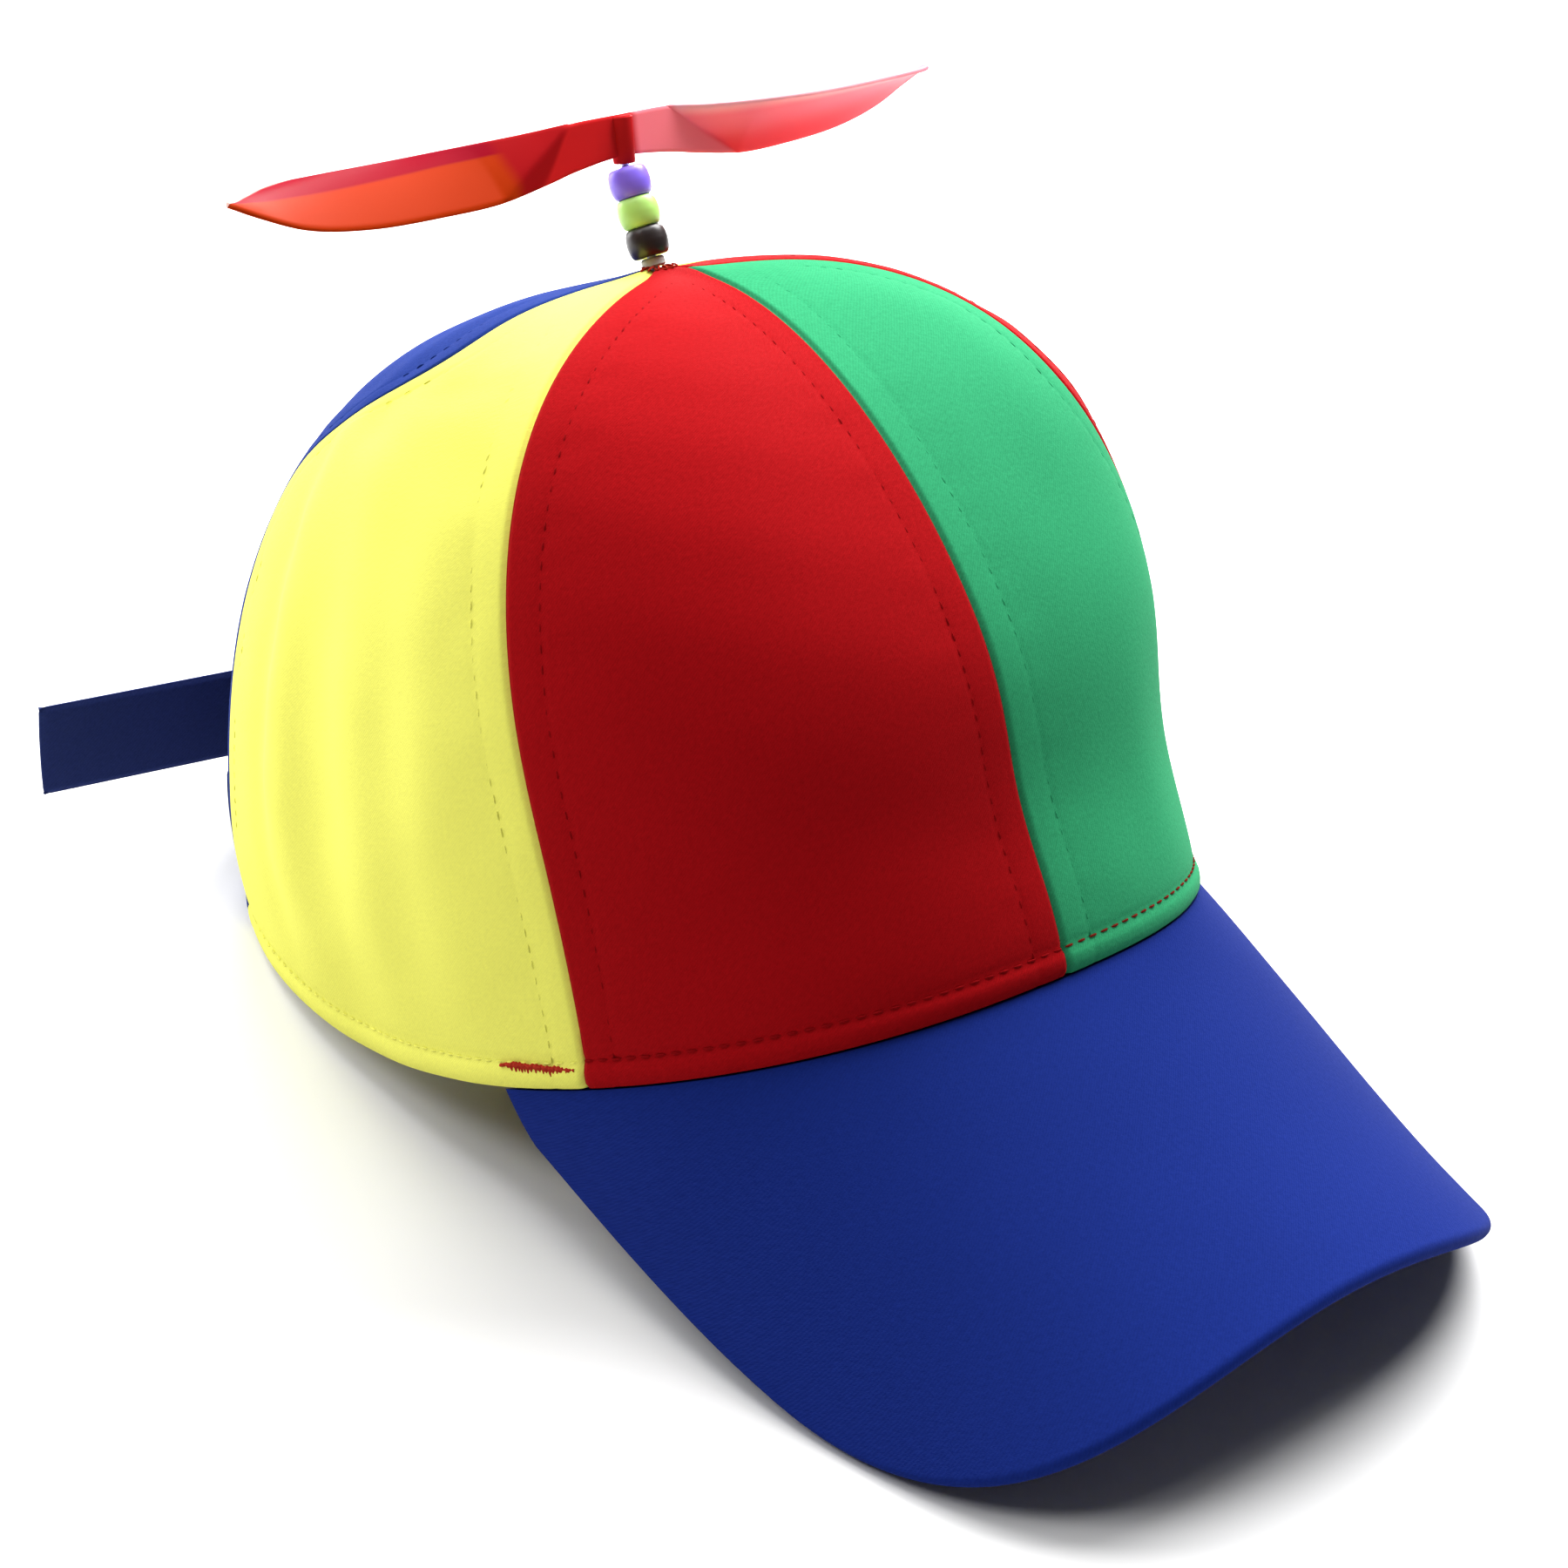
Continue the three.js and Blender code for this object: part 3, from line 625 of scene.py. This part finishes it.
def seam_stitch_places(first, second, widths, from_second):
    rises, width, along = widths
    narrow = width < 2.6 * topstitch_in
    stop = along[np.argmax(narrow)] if narrow.any() else along[-1]
    run = np.arange(2.2, stop, topstitch_pitch)
    rise = np.interp(run, along, rises)
    share = topstitch_in / np.interp(rise, rises, width)
    share = 1 - share if from_second else share
    places = []
    for nudge in (-0.004, 0, 0.004):
        angle, lift = panel_place(first, second, rise + nudge, share)
        places.append(crown_point(angle, lift))
    angle, lift = panel_place(first, second, rise, share)
    return places[1], places[2] - places[0], crown_normal(angle, lift)


for name, (first, second, slot) in panels.items():
    parts = [seam_stitch_places(first, second, panel_widths[name], side) for side in (False, True)]
    centres, directions, normals = [np.concatenate(group) for group in zip(*parts)]
    if name in arched_panels:
        aside = centres[:, 0] / (opening_half_width + binding_wide)
        above = (centres[:, 2] - nape_hem_rise) / (opening_height + binding_wide)
        keep = ~(aside ** 2 + above ** 2 < 1)
        centres, directions, normals = centres[keep], directions[keep], normals[keep]
    thick = {"cotton_yellow": 0.26, "cotton_green": 0.24}.get(slot, 0.32)
    sunk = centres - normals * 0.14
    stitches(name + "_topstitch", sunk, directions, normals, 1.5, thick, threads[slot])
    share = np.linspace(0.015, 0.985, int(panel_widths[name][1][0] / hem_stitch_pitch))
    rise = np.full_like(share, np.interp(hem_stitch_up, panel_widths[name][2], panel_rises))
    angle, lift = panel_place(first, second, rise, share)
    behind, _ = panel_place(first, second, rise, share - 0.005)
    centres = crown_point(angle, lift)
    directions = centres - crown_point(behind, lift)
    normals = crown_normal(angle, lift)
    if name in arched_panels:
        keep = np.abs(centres[:, 0]) > opening_half_width + binding_wide
        centres, directions, normals = centres[keep], directions[keep], normals[keep]
    thread = threads["hem"] if slot == "cotton_green" else threads[slot]
    sunk = centres - normals * 0.06
    stitches(name + "_hem_stitch", sunk, directions, normals, 1.7, 0.4, thread)

# Bar tack. A drawn strand of russet thread on the yellow gore's hem beside the seam, with
# ragged zigzag stitches under it, where the peak's end is caught to the crown.
def thread_run(name, paths, radius):
    """A free run of russet thread along one or more paths."""
    curve = bpy.data.curves.new(name, "CURVE")
    curve.dimensions = "3D"
    curve.bevel_depth = radius
    curve.bevel_resolution = 2
    for path in paths:
        line = curve.splines.new("POLY")
        line.points.add(len(path) - 1)
        for point, place in zip(line.points, path):
            point.co = (*place, 1)
    curve.materials.append(threads["tack"])
    run = bpy.data.objects.new(name, curve)
    scene.collection.objects.link(run)
    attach(run, "cap")


first, second, _ = panels["right_side_panel"]
rises, width, along = panel_widths["right_side_panel"]
tack_share = np.linspace(0, 1, 260)
tack_rise = 3.5 + 1.5 * tack_share - 0.9 * tack_share ** 6
ragged = smooth(0, 0.12, tack_share) * (1 - smooth(0.8, 0.92, tack_share))
zigzag_turn = tack_share * 2 * np.pi * 21 + 1.3 * np.sin(tack_share * 19)
tack_paths = []
for swing, drop, proud in ((0.08, 0, 0.36), (0.75, -0.8, 0.24), (0.3, -0.3, 0.28)):
    wave = swing * np.sin(zigzag_turn + 3 * swing) * ragged
    tack_across = 1.4 + 16 * tack_share + 0.25 * np.cos(zigzag_turn) * ragged
    tack_up = tack_rise + drop * ragged * (0.8 + 0.2 * np.sin(tack_share * 23)) + wave
    rise = np.interp(tack_up, along, rises)
    angle, lift = panel_place(first, second, rise, tack_across / width[0])
    out = proud + 0.12 * np.cos(zigzag_turn * 0.5)
    tack_paths.append(standing(crown_point(angle, lift) + crown_normal(angle, lift) * out[:, None]))
thread_run("bar_tack", tack_paths, 0.00028)

# Peak. A stiff curved board covered on both sides in blue twill, with a rounded turned
# edge, sewn by its inner edge up under the crown's hem.
peak_thickness = 3.0
peak_reach = 54.3
peak_arch_depth = 84.25
temple_angle = math.radians(65.3)
temple = crown_point(np.array(temple_angle), np.array(0.0))
temple_half_width = abs(temple[0])
peak_arch_half_width = temple_half_width * 1.066
peak_tip_y = -(crown_front_reach + peak_reach)


def peak_height(x, y):
    run = -(y + crown_front_reach)
    share = np.minimum(np.abs(x) / peak_arch_half_width, 0.995)
    arch = peak_arch_depth * (1 - np.sqrt(1 - share ** 2))
    flare = 8.6 * run * np.abs(run) / peak_reach ** 2
    return forehead_hem_rise - run * math.tan(math.radians(41)) + flare - arch


peak_outline = np.array([
    [temple_half_width, temple[1]],
    [temple_half_width + 1.4, temple[1] - 90.3],
    [temple_half_width * 0.82, peak_tip_y],
    [0, peak_tip_y],
])


def peak_surface(out, share):
    side = np.where(share < 0.5, -1.0, 1.0)
    inward = (1 - np.abs(1 - 2 * share)) ** 1.4
    hem_angle = -side * temple_angle * (1 - inward)
    root = crown_point(hem_angle, np.zeros_like(hem_angle))
    t = (0.03 + 0.97 * inward)[..., None]
    edge = (1 - t) ** 3 * peak_outline[0] + 3 * (1 - t) ** 2 * t * peak_outline[1] \
        + 3 * (1 - t) * t ** 2 * peak_outline[2] + t ** 3 * peak_outline[3]
    x = root[..., 0] * (1 - out) + side * edge[..., 0] * out
    y = root[..., 1] * (1 - out) + edge[..., 1] * out
    seat = root[..., 2] - 0.3 - peak_height(root[..., 0], root[..., 1])
    return np.stack([x, y, peak_height(x, y) + seat * (1 - out) ** 2], axis=-1)


def peak_normal(point):
    step = 0.05
    x, y = point[..., 0], point[..., 1]
    slope_x = (peak_height(x + step, y) - peak_height(x - step, y)) / (2 * step)
    slope_y = (peak_height(x, y + step) - peak_height(x, y - step)) / (2 * step)
    normal = np.stack([-slope_x, -slope_y, np.ones_like(slope_x)], axis=-1)
    return normal / np.linalg.norm(normal, axis=-1, keepdims=True)


outs = np.concatenate([np.linspace(0, 0.93, 56), 1 - 0.07 * (1 - np.linspace(0, 1, 19)[1:]) ** 2])
shares = np.linspace(0, 1, 181)
out, share = np.meshgrid(outs, shares, indexing="ij")
top = peak_surface(out, share)
reach = length_along(top, 0)
from_edge = reach[-1:] - reach
across = length_along(top, 1)
half = peak_thickness / 2
toward_edge = 1 - np.clip(from_edge / half, 0, 1)
rounding = half * (1 - np.sqrt(np.clip(1 - toward_edge ** 2, 0, 1))) * 0.92
upward = peak_normal(top)
board_wave = 0.12 * ripple(across, reach, 7, [47, 38, 29]) * smooth(0, 12, from_edge) * smooth(0, 10, reach)
seam_line = 0.12 * swell(from_edge, 4.2, 0.7)
peak_top = top + upward * (board_wave - rounding)[..., None]
peak_under = top + upward * (board_wave * 0.5 - peak_thickness + rounding + seam_line)[..., None]
uv = np.stack([top[..., 0], reach], axis=-1)
peak_cloth = cloth_material("peak_twill", (0.006, 0.0175, 0.148), contrast=0.5)
peak = sheet_piece("peak_cover", standing(peak_top), standing(peak_under), uv, "cap",
                   peak_cloth, 60)
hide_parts("peak")

allowance_turn = np.linspace(-temple_angle * 0.985, temple_angle * 0.985, 160)
allowance_section = [(-0.25, -0.5), (-0.25, -2.9), (-1, -3.3), (-2.6, -3), (-3, -1), (-3, 6.6),
                     (-2.6, 7.2), (-2, 7.2), (-1.75, 6.6), (-1.75, -0.5)]
hem_line = crown_point(allowance_turn, np.zeros_like(allowance_turn))
wall_way = crown_normal(allowance_turn, np.zeros_like(allowance_turn))
sections = [hem_line + wall_way * inward + np.array([0, 0, rise]) for inward, rise in allowance_section]
tape_sweep("peak_allowance", standing(np.stack(sections, 1)), peak_cloth)

# Closure tab. A short band of loop tape sewn to the outside of the wearer's right back gore
# and on across the opening; the strap would be pressed onto it to close the cap.
strap_rise = 17
tab_thickness = 1.2
tab_width = 16
tab_length = 62
tab_start = 142
tab_end = 188
strap_over_tab = 0.3 + tab_thickness + 0.3


def band_point(angle, across, offset):
    hem = hem_height(angle)
    lift = lift_at(angle, (strap_rise + across) / (crown_height - hem))
    return crown_point(angle, lift) + crown_normal(angle, lift) * offset[..., None]


def band_grid(rows, columns):
    """Rows that crowd toward the band's two edges, and even columns along it."""
    rise = (1 - np.cos(np.linspace(0, np.pi, rows))) / 2
    share = np.linspace(0, 1, columns)
    return np.meshgrid(rise, share, indexing="ij")


rise, share = band_grid(17, 60)
angle = np.radians(tab_start + (tab_end - tab_start) * share)
thin = 0.45 * (np.exp(-((tab_width * rise / 0.7) ** 2)) + np.exp(-((tab_width * (1 - rise) / 0.7) ** 2)))
outside = standing(band_point(angle, tab_width * (rise - 0.5), 0.3 + tab_thickness - thin))
inside = standing(band_point(angle, tab_width * (rise - 0.5), 0.3 + thin))
uv = np.stack([share * tab_length, rise * tab_width], axis=-1)
tab = sheet_piece("tab_tape", outside, inside, uv, "cap", navy_tape)
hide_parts("closure_tab")

# Closure strap. A band of hook and loop tape 18 mm wide, sewn flat to the wearer's left
# back gore. It is unfastened, so its free end stands straight out past the right side.
strap_width = 17.8
strap_thickness = 1.5
strap_laid_share = 0.55
strap_root = 218
strap_leaves = 176
strap_free_length = 74
flight = np.array([-1, math.tan(math.radians(5.7)), math.tan(math.radians(3))])
flight /= np.linalg.norm(flight)


def strap_point(rise, share, depth):
    laid = np.minimum(share / strap_laid_share, 1)
    angle = strap_root + (strap_leaves - strap_root) * laid
    climb = 1 - smooth(3, 10, angle - tab_end)
    offset = 0.3 + (strap_over_tab - 0.3) * climb + depth
    free = np.maximum(share - strap_laid_share, 0) / (1 - strap_laid_share) * strap_free_length
    return band_point(np.radians(angle), strap_width * (rise - 0.5), offset) + free[..., None] * flight


rise, share = band_grid(25, 200)
edge = np.minimum(rise, 1 - rise) * strap_width
end = np.minimum(share, 1 - share) * 160
thin = 0.6 * np.exp(-((edge / 0.6) ** 2)) + 0.5 * np.exp(-((end / 0.8) ** 2))
woven = 0.14 * swell(edge, 2.2, 0.35)
outside = standing(strap_point(rise, share, strap_thickness - thin - woven))
inside = standing(strap_point(rise, share, thin + woven))
uv = np.stack([share * 150, rise * strap_width], axis=-1)
strap_cloth = cloth_material("strap_tape", (0.0137, 0.0218, 0.091), rib=0.7, contrast=0.5, mottle=0.25,
                             depth=0.0002)
strap = sheet_piece("strap_tape", outside, inside, uv, "cap", strap_cloth)
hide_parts("closure_strap")

# Rod. A bent steel wire that rises through the crown's tip from a washer inside, with a
# small clear collar that the beads rest on; its upright end is the propeller's spindle.
rod_radius = 0.8
collar_low = 0.9
collar_height = 1.7
bead_height = 4.9
stack_low = collar_low + collar_height + 0.3
bend_height = stack_low + 3 * (bead_height + 0.3) - 0.3 + 0.35
stem_foot = np.array([-rod_offset_right, -apex_forward, crown_height])
stem_way = np.array([-math.tan(math.radians(2.7)), math.tan(math.radians(10.9)), 1])
stem_way /= np.linalg.norm(stem_way)
spindle_foot = stem_foot + stem_way * bend_height
spindle_way = np.array([0, -math.tan(math.radians(3.3)), 1])
spindle_way /= np.linalg.norm(spindle_way)


def along_stem(way, foot):
    turn = Vector((0, 0, 1)).rotation_difference(Vector(way)).to_matrix()
    turn = np.array(turn)
    return lambda points: standing(np.asarray(points) @ turn.T + foot)


def turned_piece(name, profile, place, body, material, sides=48, crease=40):
    """A turned form from a profile of radius and height; points on the axis close it."""
    profile = np.asarray(profile, float)
    turns = np.linspace(0, 2 * np.pi, sides, endpoint=False)
    points, rows = [], []
    for radius, height in profile:
        if radius < 1e-6:
            rows.append([len(points)])
            points.append((0, 0, height))
        else:
            rows.append(list(range(len(points), len(points) + sides)))
            points += [(radius * math.cos(t), radius * math.sin(t), height) for t in turns]
    closed = profile[0][0] > 1e-6
    pairs = list(zip(rows, rows[1:])) + ([(rows[-1], rows[0])] if closed else [])
    faces = []
    for low, high in pairs:
        for i in range(sides):
            j = (i + 1) % sides
            corners = [low[i % len(low)], low[j % len(low)], high[j % len(high)], high[i % len(high)]]
            face = list(dict.fromkeys(corners))
            if len(face) > 2:
                faces.append(face)
    return make_piece(name, place(points), faces, None, body, material, crease)


steel, steel_tree, steel_shader = new_material("drawn_steel")
where = add_node(steel_tree, "ShaderNodeTexCoord").outputs["Object"]
drawn = noise(steel_tree, where, 900.0, 3.0)
rough = add_node(steel_tree, "ShaderNodeMapRange", [("Value", drawn), ("To Min", 0.22), ("To Max", 0.4)])
steel_tree.links.new(rough.outputs["Result"], steel_shader.inputs["Roughness"])
steel_shader.inputs["Base Color"].default_value = (0.62, 0.63, 0.65, 1)
steel_shader.inputs["Metallic"].default_value = 1.0
from_stem = along_stem(stem_way, stem_foot)
from_spindle = along_stem(spindle_way, spindle_foot)
wire = turned_piece("rod_wire", [(0, -4.6), (rod_radius, -4.6), (rod_radius, bend_height), (0, bend_height)],
                    from_stem, "cap", steel, 24)
hub_foot = 0.6
hub_height = 8.5
hub_roof = 1.2
hub_play = 0.3
spindle_top = hub_foot + hub_height - hub_roof - hub_play
spindle = turned_piece("rod_spindle", [(0, -0.5), (0.7, -0.35), (rod_radius, 0),
                                       (rod_radius, spindle_top - 0.2), (0.6, spindle_top), (0, spindle_top)],
                       from_spindle, "cap", steel, 24)
washer = turned_piece("rod_washer", [(0, -4.4), (5.8, -4.4), (6, -4.2), (6, -3.7), (5.8, -3.5), (0, -3.5)],
                      lambda points: standing(np.asarray(points) + (0, -apex_forward, crown_height)),
                      "cap", steel)
clear, clear_tree, clear_shader = new_material("clear_collar")
where = add_node(clear_tree, "ShaderNodeTexCoord").outputs["Object"]
cloud = noise(clear_tree, where, 600.0)
haze = two_tone(clear_tree, cloud, (0.46, 0.46, 0.43), (0.54, 0.54, 0.51))
dull = add_node(clear_tree, "ShaderNodeMapRange", [("Value", cloud), ("To Min", 0.2), ("To Max", 0.3)])
clear_tree.links.new(haze, clear_shader.inputs["Base Color"])
clear_tree.links.new(dull.outputs["Result"], clear_shader.inputs["Roughness"])
collar = turned_piece("rod_collar", [(0, collar_low), (1.8, collar_low), (2.1, collar_low + 0.3),
                                     (2.1, collar_low + 1.4), (1.8, collar_low + collar_height),
                                     (0, collar_low + collar_height)],
                      from_stem, "cap", clear)
for piece in (wire, spindle, washer, collar):
    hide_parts("rod")

# Gathering thread. The six tips of the crown are drawn together round the rod by a few
# loose loops of russet thread, which show on the wearer's front right.
loop_share = np.linspace(0, 1, 120)
loop_angle = np.radians(-50 + 150 * loop_share)
loop_radius = 2.7 + 0.9 * np.sin(loop_share * 2 * np.pi * 6)
loop_lift = apex_lift(loop_angle, loop_radius)
loop_out = 0.22 + 0.2 * np.cos(loop_share * 2 * np.pi * 6)
loop_path = crown_point(loop_angle, loop_lift) + crown_normal(loop_angle, loop_lift) * loop_out[:, None]
thread_run("gathering_thread", [standing(loop_path)], 0.00018)

# Beads. Three moulded plastic pony beads, black, green and purple from below, threaded
# on the rod; each is a rounded barrel with a faint seam line where the mould closed.
def plastic_material(name, color):
    material, tree, shader = new_material(name)
    where = add_node(tree, "ShaderNodeTexCoord").outputs["Object"]
    swirl = noise(tree, where, 260.0)
    shade = two_tone(tree, swirl, [c * 0.86 for c in color], [min(c * 1.1, 1) for c in color])
    bump_links = [("Height", noise(tree, where, 1100.0)), ("Strength", 0.15), ("Distance", 0.00005)]
    bump = add_node(tree, "ShaderNodeBump", bump_links)
    tree.links.new(shade, shader.inputs["Base Color"])
    tree.links.new(bump.outputs["Normal"], shader.inputs["Normal"])
    shader.inputs["Roughness"].default_value = 0.36
    shader.inputs["Coat Weight"].default_value = 0.12
    shader.inputs["Coat Roughness"].default_value = 0.3
    return material


bead_radius = 3.6
bead_bore = rod_radius + 0.15
shoulder = 2.3
bead_colors = {
    "bead_black": (0.02, 0.012, 0.012),
    "bead_green": (0.5, 0.86, 0.2),
    "bead_purple": (0.26, 0.155, 0.98),
}
for order, (name, color) in enumerate(bead_colors.items()):
    centre = stack_low + order * (bead_height + 0.3) + bead_height / 2
    profile = [(bead_bore, centre - bead_height / 2)]
    for turn in np.linspace(-np.pi / 2, np.pi / 2, 25):
        swollen = shoulder + (bead_radius + 0.05 - shoulder) * max(math.cos(turn), 0) ** 0.65
        mould_line = 0.03 * math.exp(-(turn / 0.05) ** 2)
        profile.append((swollen + mould_line, centre + (bead_height / 2 + 0.14) * math.sin(turn)))
    profile.append((bead_bore, centre + bead_height / 2))
    plastic = plastic_material(name + "_plastic", color)
    bead = turned_piece(name + "_barrel", profile, from_stem, "cap", plastic)
    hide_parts(name)

# Propeller. One thin moulding of red see-through plastic: a small hub on the spindle, a
# flat upright web on each side of it, and two dished blades that turn out of the webs.
blade_length = 87.2
blade_width = 10
blade_depth = 8.5
blade_thickness = 0.9
blade_camber = 1.2
blade_sections = np.array([
    # out, top, bottom, top reach, bottom reach
    [0, 0.27, -0.55, 0, 0],
    [0.14, 0.265, -0.67, 0.03, 0],
    [0.22, 0.19, -0.8, 0.38, 0],
    [0.35, 0.13, -0.97, 0.74, 0],
    [0.5, 0.08, -0.98, 0.98, 0.03],
    [0.7, 0.075, -0.89, 1, 0.16],
    [0.86, 0.075, -0.64, 0.86, 0.28],
    [0.95, 0.05, -0.3, 0.48, 0.22],
    [1, 0.035, -0.035, 0.04, 0.04],
])


def eased_line(knots, places):
    """Points on a smooth line through knots, by the square roots of the gaps between them."""
    knots = np.concatenate([[2 * knots[0] - knots[1]], knots, [2 * knots[-1] - knots[-2]]])
    last = len(knots) - 4
    position = places * (last + 1)
    index = np.minimum(position.astype(int), last)
    t = (position - index)[..., None]
    before, start, end, after = (knots[index + k] for k in range(4))
    spans = ((before, start), (start, end), (end, after))
    gaps = [np.sqrt(np.linalg.norm(b - a, axis=-1, keepdims=True)) for a, b in spans]
    leave = (start - before) / gaps[0] - (end - before) / (gaps[0] + gaps[1]) + (end - start) / gaps[1]
    arrive = (end - start) / gaps[1] - (after - start) / (gaps[1] + gaps[2]) + (after - end) / gaps[2]
    leave, arrive = leave * gaps[1], arrive * gaps[1]
    return start + leave * t + (3 * (end - start) - 2 * leave - arrive) * t ** 2 \
        + (2 * (start - end) + leave + arrive) * t ** 3


def blade_edge(height, reach, way):
    out_side = blade_sections[1:][::-1]
    halves = [(-1, row) for row in out_side] + [(1, row) for row in blade_sections]
    return np.array([(side * row[0] * blade_length, way * side * row[reach] * blade_width,
                      row[height] * blade_depth) for side, row in halves])


top_knots = blade_edge(1, 3, -1)
bottom_knots = blade_edge(2, 4, 1)
along_line = np.linspace(0, 1, 241)
across_line = (1 - np.cos(np.linspace(0, np.pi, 31))) / 2
along, across = np.meshgrid(along_line, across_line, indexing="ij")
low = eased_line(bottom_knots, along)
high = eased_line(top_knots, along)
out = np.abs(low[..., 0]) / blade_length
web_end = 0.14
blade_start = 0.34
crease = np.clip((blade_start - out) / (blade_start - web_end), 0, 1)
turned = np.clip((across - crease) / np.maximum(1 - crease, 1e-3), 0, 1)
blade = low + (high - low) * across[..., None]
blade[..., 1] = low[..., 1] + (high[..., 1] - low[..., 1]) * np.where(out < blade_start, turned, across)
breadth = np.abs(high[..., 1] - low[..., 1]) / blade_width
blade[..., 2] += blade_camber * breadth * 4 * across * (1 - across) * smooth(0.2, 0.45, out)
ahead = np.gradient(blade, axis=0)
over = np.gradient(blade, axis=1)
facing_up = np.cross(ahead, over)
facing_up /= np.linalg.norm(facing_up, axis=-1, keepdims=True)
rim = np.minimum(across, 1 - across) * np.linalg.norm(high - low, axis=-1)
leaf = blade_thickness / 2 * (0.25 + 0.75 * np.sqrt(np.clip(rim / 0.5, 0, 1)))
rest_turn = math.radians(12.5)
c, s = math.cos(rest_turn), math.sin(rest_turn)
spin = np.array([[c, -s, 0], [s, c, 0], [0, 0, 1]])
hub_top = hub_foot + hub_height
raise_to_hub = np.array([0, 0, hub_top - 2.6])


def on_spindle(points):
    return from_spindle(np.asarray(points) @ spin.T + raise_to_hub)


def clear_red_plastic(name, moulded):
    """Red see-through plastic; where moulded is set, its tint on the blades holds painted shade, a painted
    highlight and a painted backlit glow.
    """
    material, tree, shader = new_material(name)
    where = add_node(tree, "ShaderNodeTexCoord").outputs["Object"]
    flow = noise(tree, where, 22.0)
    tint = two_tone(tree, flow, (0.46, 0.009, 0.012), (0.54, 0.014, 0.016), 0.35, 0.65)
    if moulded:
        flat = add_node(tree, "ShaderNodeUVMap", uv_map="cloth").outputs["UV"]
        split = add_node(tree, "ShaderNodeSeparateXYZ", [(0, flat)]).outputs

        def share(source, low, high):
            links = [("Value", source), ("From Min", low), ("From Max", high)]
            node = add_node(tree, "ShaderNodeMapRange", links, interpolation_type="SMOOTHSTEP")
            return node.outputs["Result"]

        def blended(amount, below, above):
            node = add_node(tree, "ShaderNodeMix", data_type="RGBA")
            for socket, source in ((0, amount), (6, below), (7, above)):
                if hasattr(source, "is_output"):
                    tree.links.new(source, node.inputs[socket])
                else:
                    node.inputs[socket].default_value = (*source, 1)
            return node.outputs[2]

        def slanted(source, slope, other):
            return arithmetic(tree, "MULTIPLY_ADD", source, slope, other)

        # X runs along both blades and Y up their width, in millimetres; the tints below paint light and shade
        # onto the blades
        # painted shade: a darker crimson band along the top of the left blade, above its orange face
        painted_shade_band = share(slanted(split["X"], -0.072, split["Y"]), 2.8, 3.4)
        # painted highlight: a cream patch at the left blade's tip
        painted_tip_highlight = share(slanted(split["X"], -0.21, split["Y"]), 3.3, 4.0)
        # the left blade's colour, with painted shade and a painted highlight
        left_blade_painted_light = blended(painted_shade_band, (0.37, 0.028, 0.003), (0.25, 0.002, 0.012))
        left_blade_painted_light = blended(painted_tip_highlight, left_blade_painted_light, (0.95, 0.62, 0.55))
        # painted glow: the right blade lit pink from behind, paler toward its top edge as a painted
        # highlight, deeper red toward its tip
        right_blade_painted_glow = blended(share(split["Y"], 1.0, 7.0), (0.86, 0.07, 0.095), (0.92, 0.22, 0.3))
        right_blade_painted_glow = blended(share(split["Y"], 7.4, 10.0), right_blade_painted_glow, (0.95, 0.5, 0.56))
        right_blade_painted_glow = blended(share(split["X"], 130.0, 170.0), right_blade_painted_glow, (0.86, 0.14, 0.2))
        # painted shade darkens the left web beside the hub
        web_painted_shade = share(slanted(split["Y"], -1.2, split["X"]), 65.0, 62.0)
        # where the right blade's painted glow begins
        painted_glow_mask = share(slanted(split["Y"], 1.9, split["X"]), 117.0, 120.0)
        tint = blended(web_painted_shade, tint, (0.3, 0.006, 0.008))
        tint = blended(share(split["X"], 57.0, 60.0), left_blade_painted_light, tint)
        # painted glow on the right web beside the hub
        tint = blended(share(split["X"], 89.0, 91.0), tint, (0.9, 0.21, 0.25))
        tint = blended(painted_glow_mask, tint, right_blade_painted_glow)
    tree.links.new(tint, shader.inputs["Base Color"])
    shader.inputs["Roughness"].default_value = 0.34
    shader.inputs["IOR"].default_value = 1.04
    shader.inputs["Transmission Weight"].default_value = 0.15
    return material


uv = np.stack([along * 2 * blade_length, across * blade_width], axis=-1)
blades = sheet_piece("propeller_blades", on_spindle(blade + facing_up * leaf[..., None]),
                     on_spindle(blade - facing_up * leaf[..., None]), uv, "propeller",
                     clear_red_plastic("red_blades_painted_light", True), 60)
hub = turned_piece("propeller_hub", [(1.1, hub_foot), (1.75, hub_foot), (1.9, 0.8), (2.2, hub_top - 0.8),
                                     (1.95, hub_top - 0.5), (0, hub_top - 0.5), (0, hub_top - hub_roof),
                                     (1.1, hub_top - hub_roof)],
                   from_spindle, "propeller", clear_red_plastic("red_clear_hub", False))
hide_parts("propeller")
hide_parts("propeller")
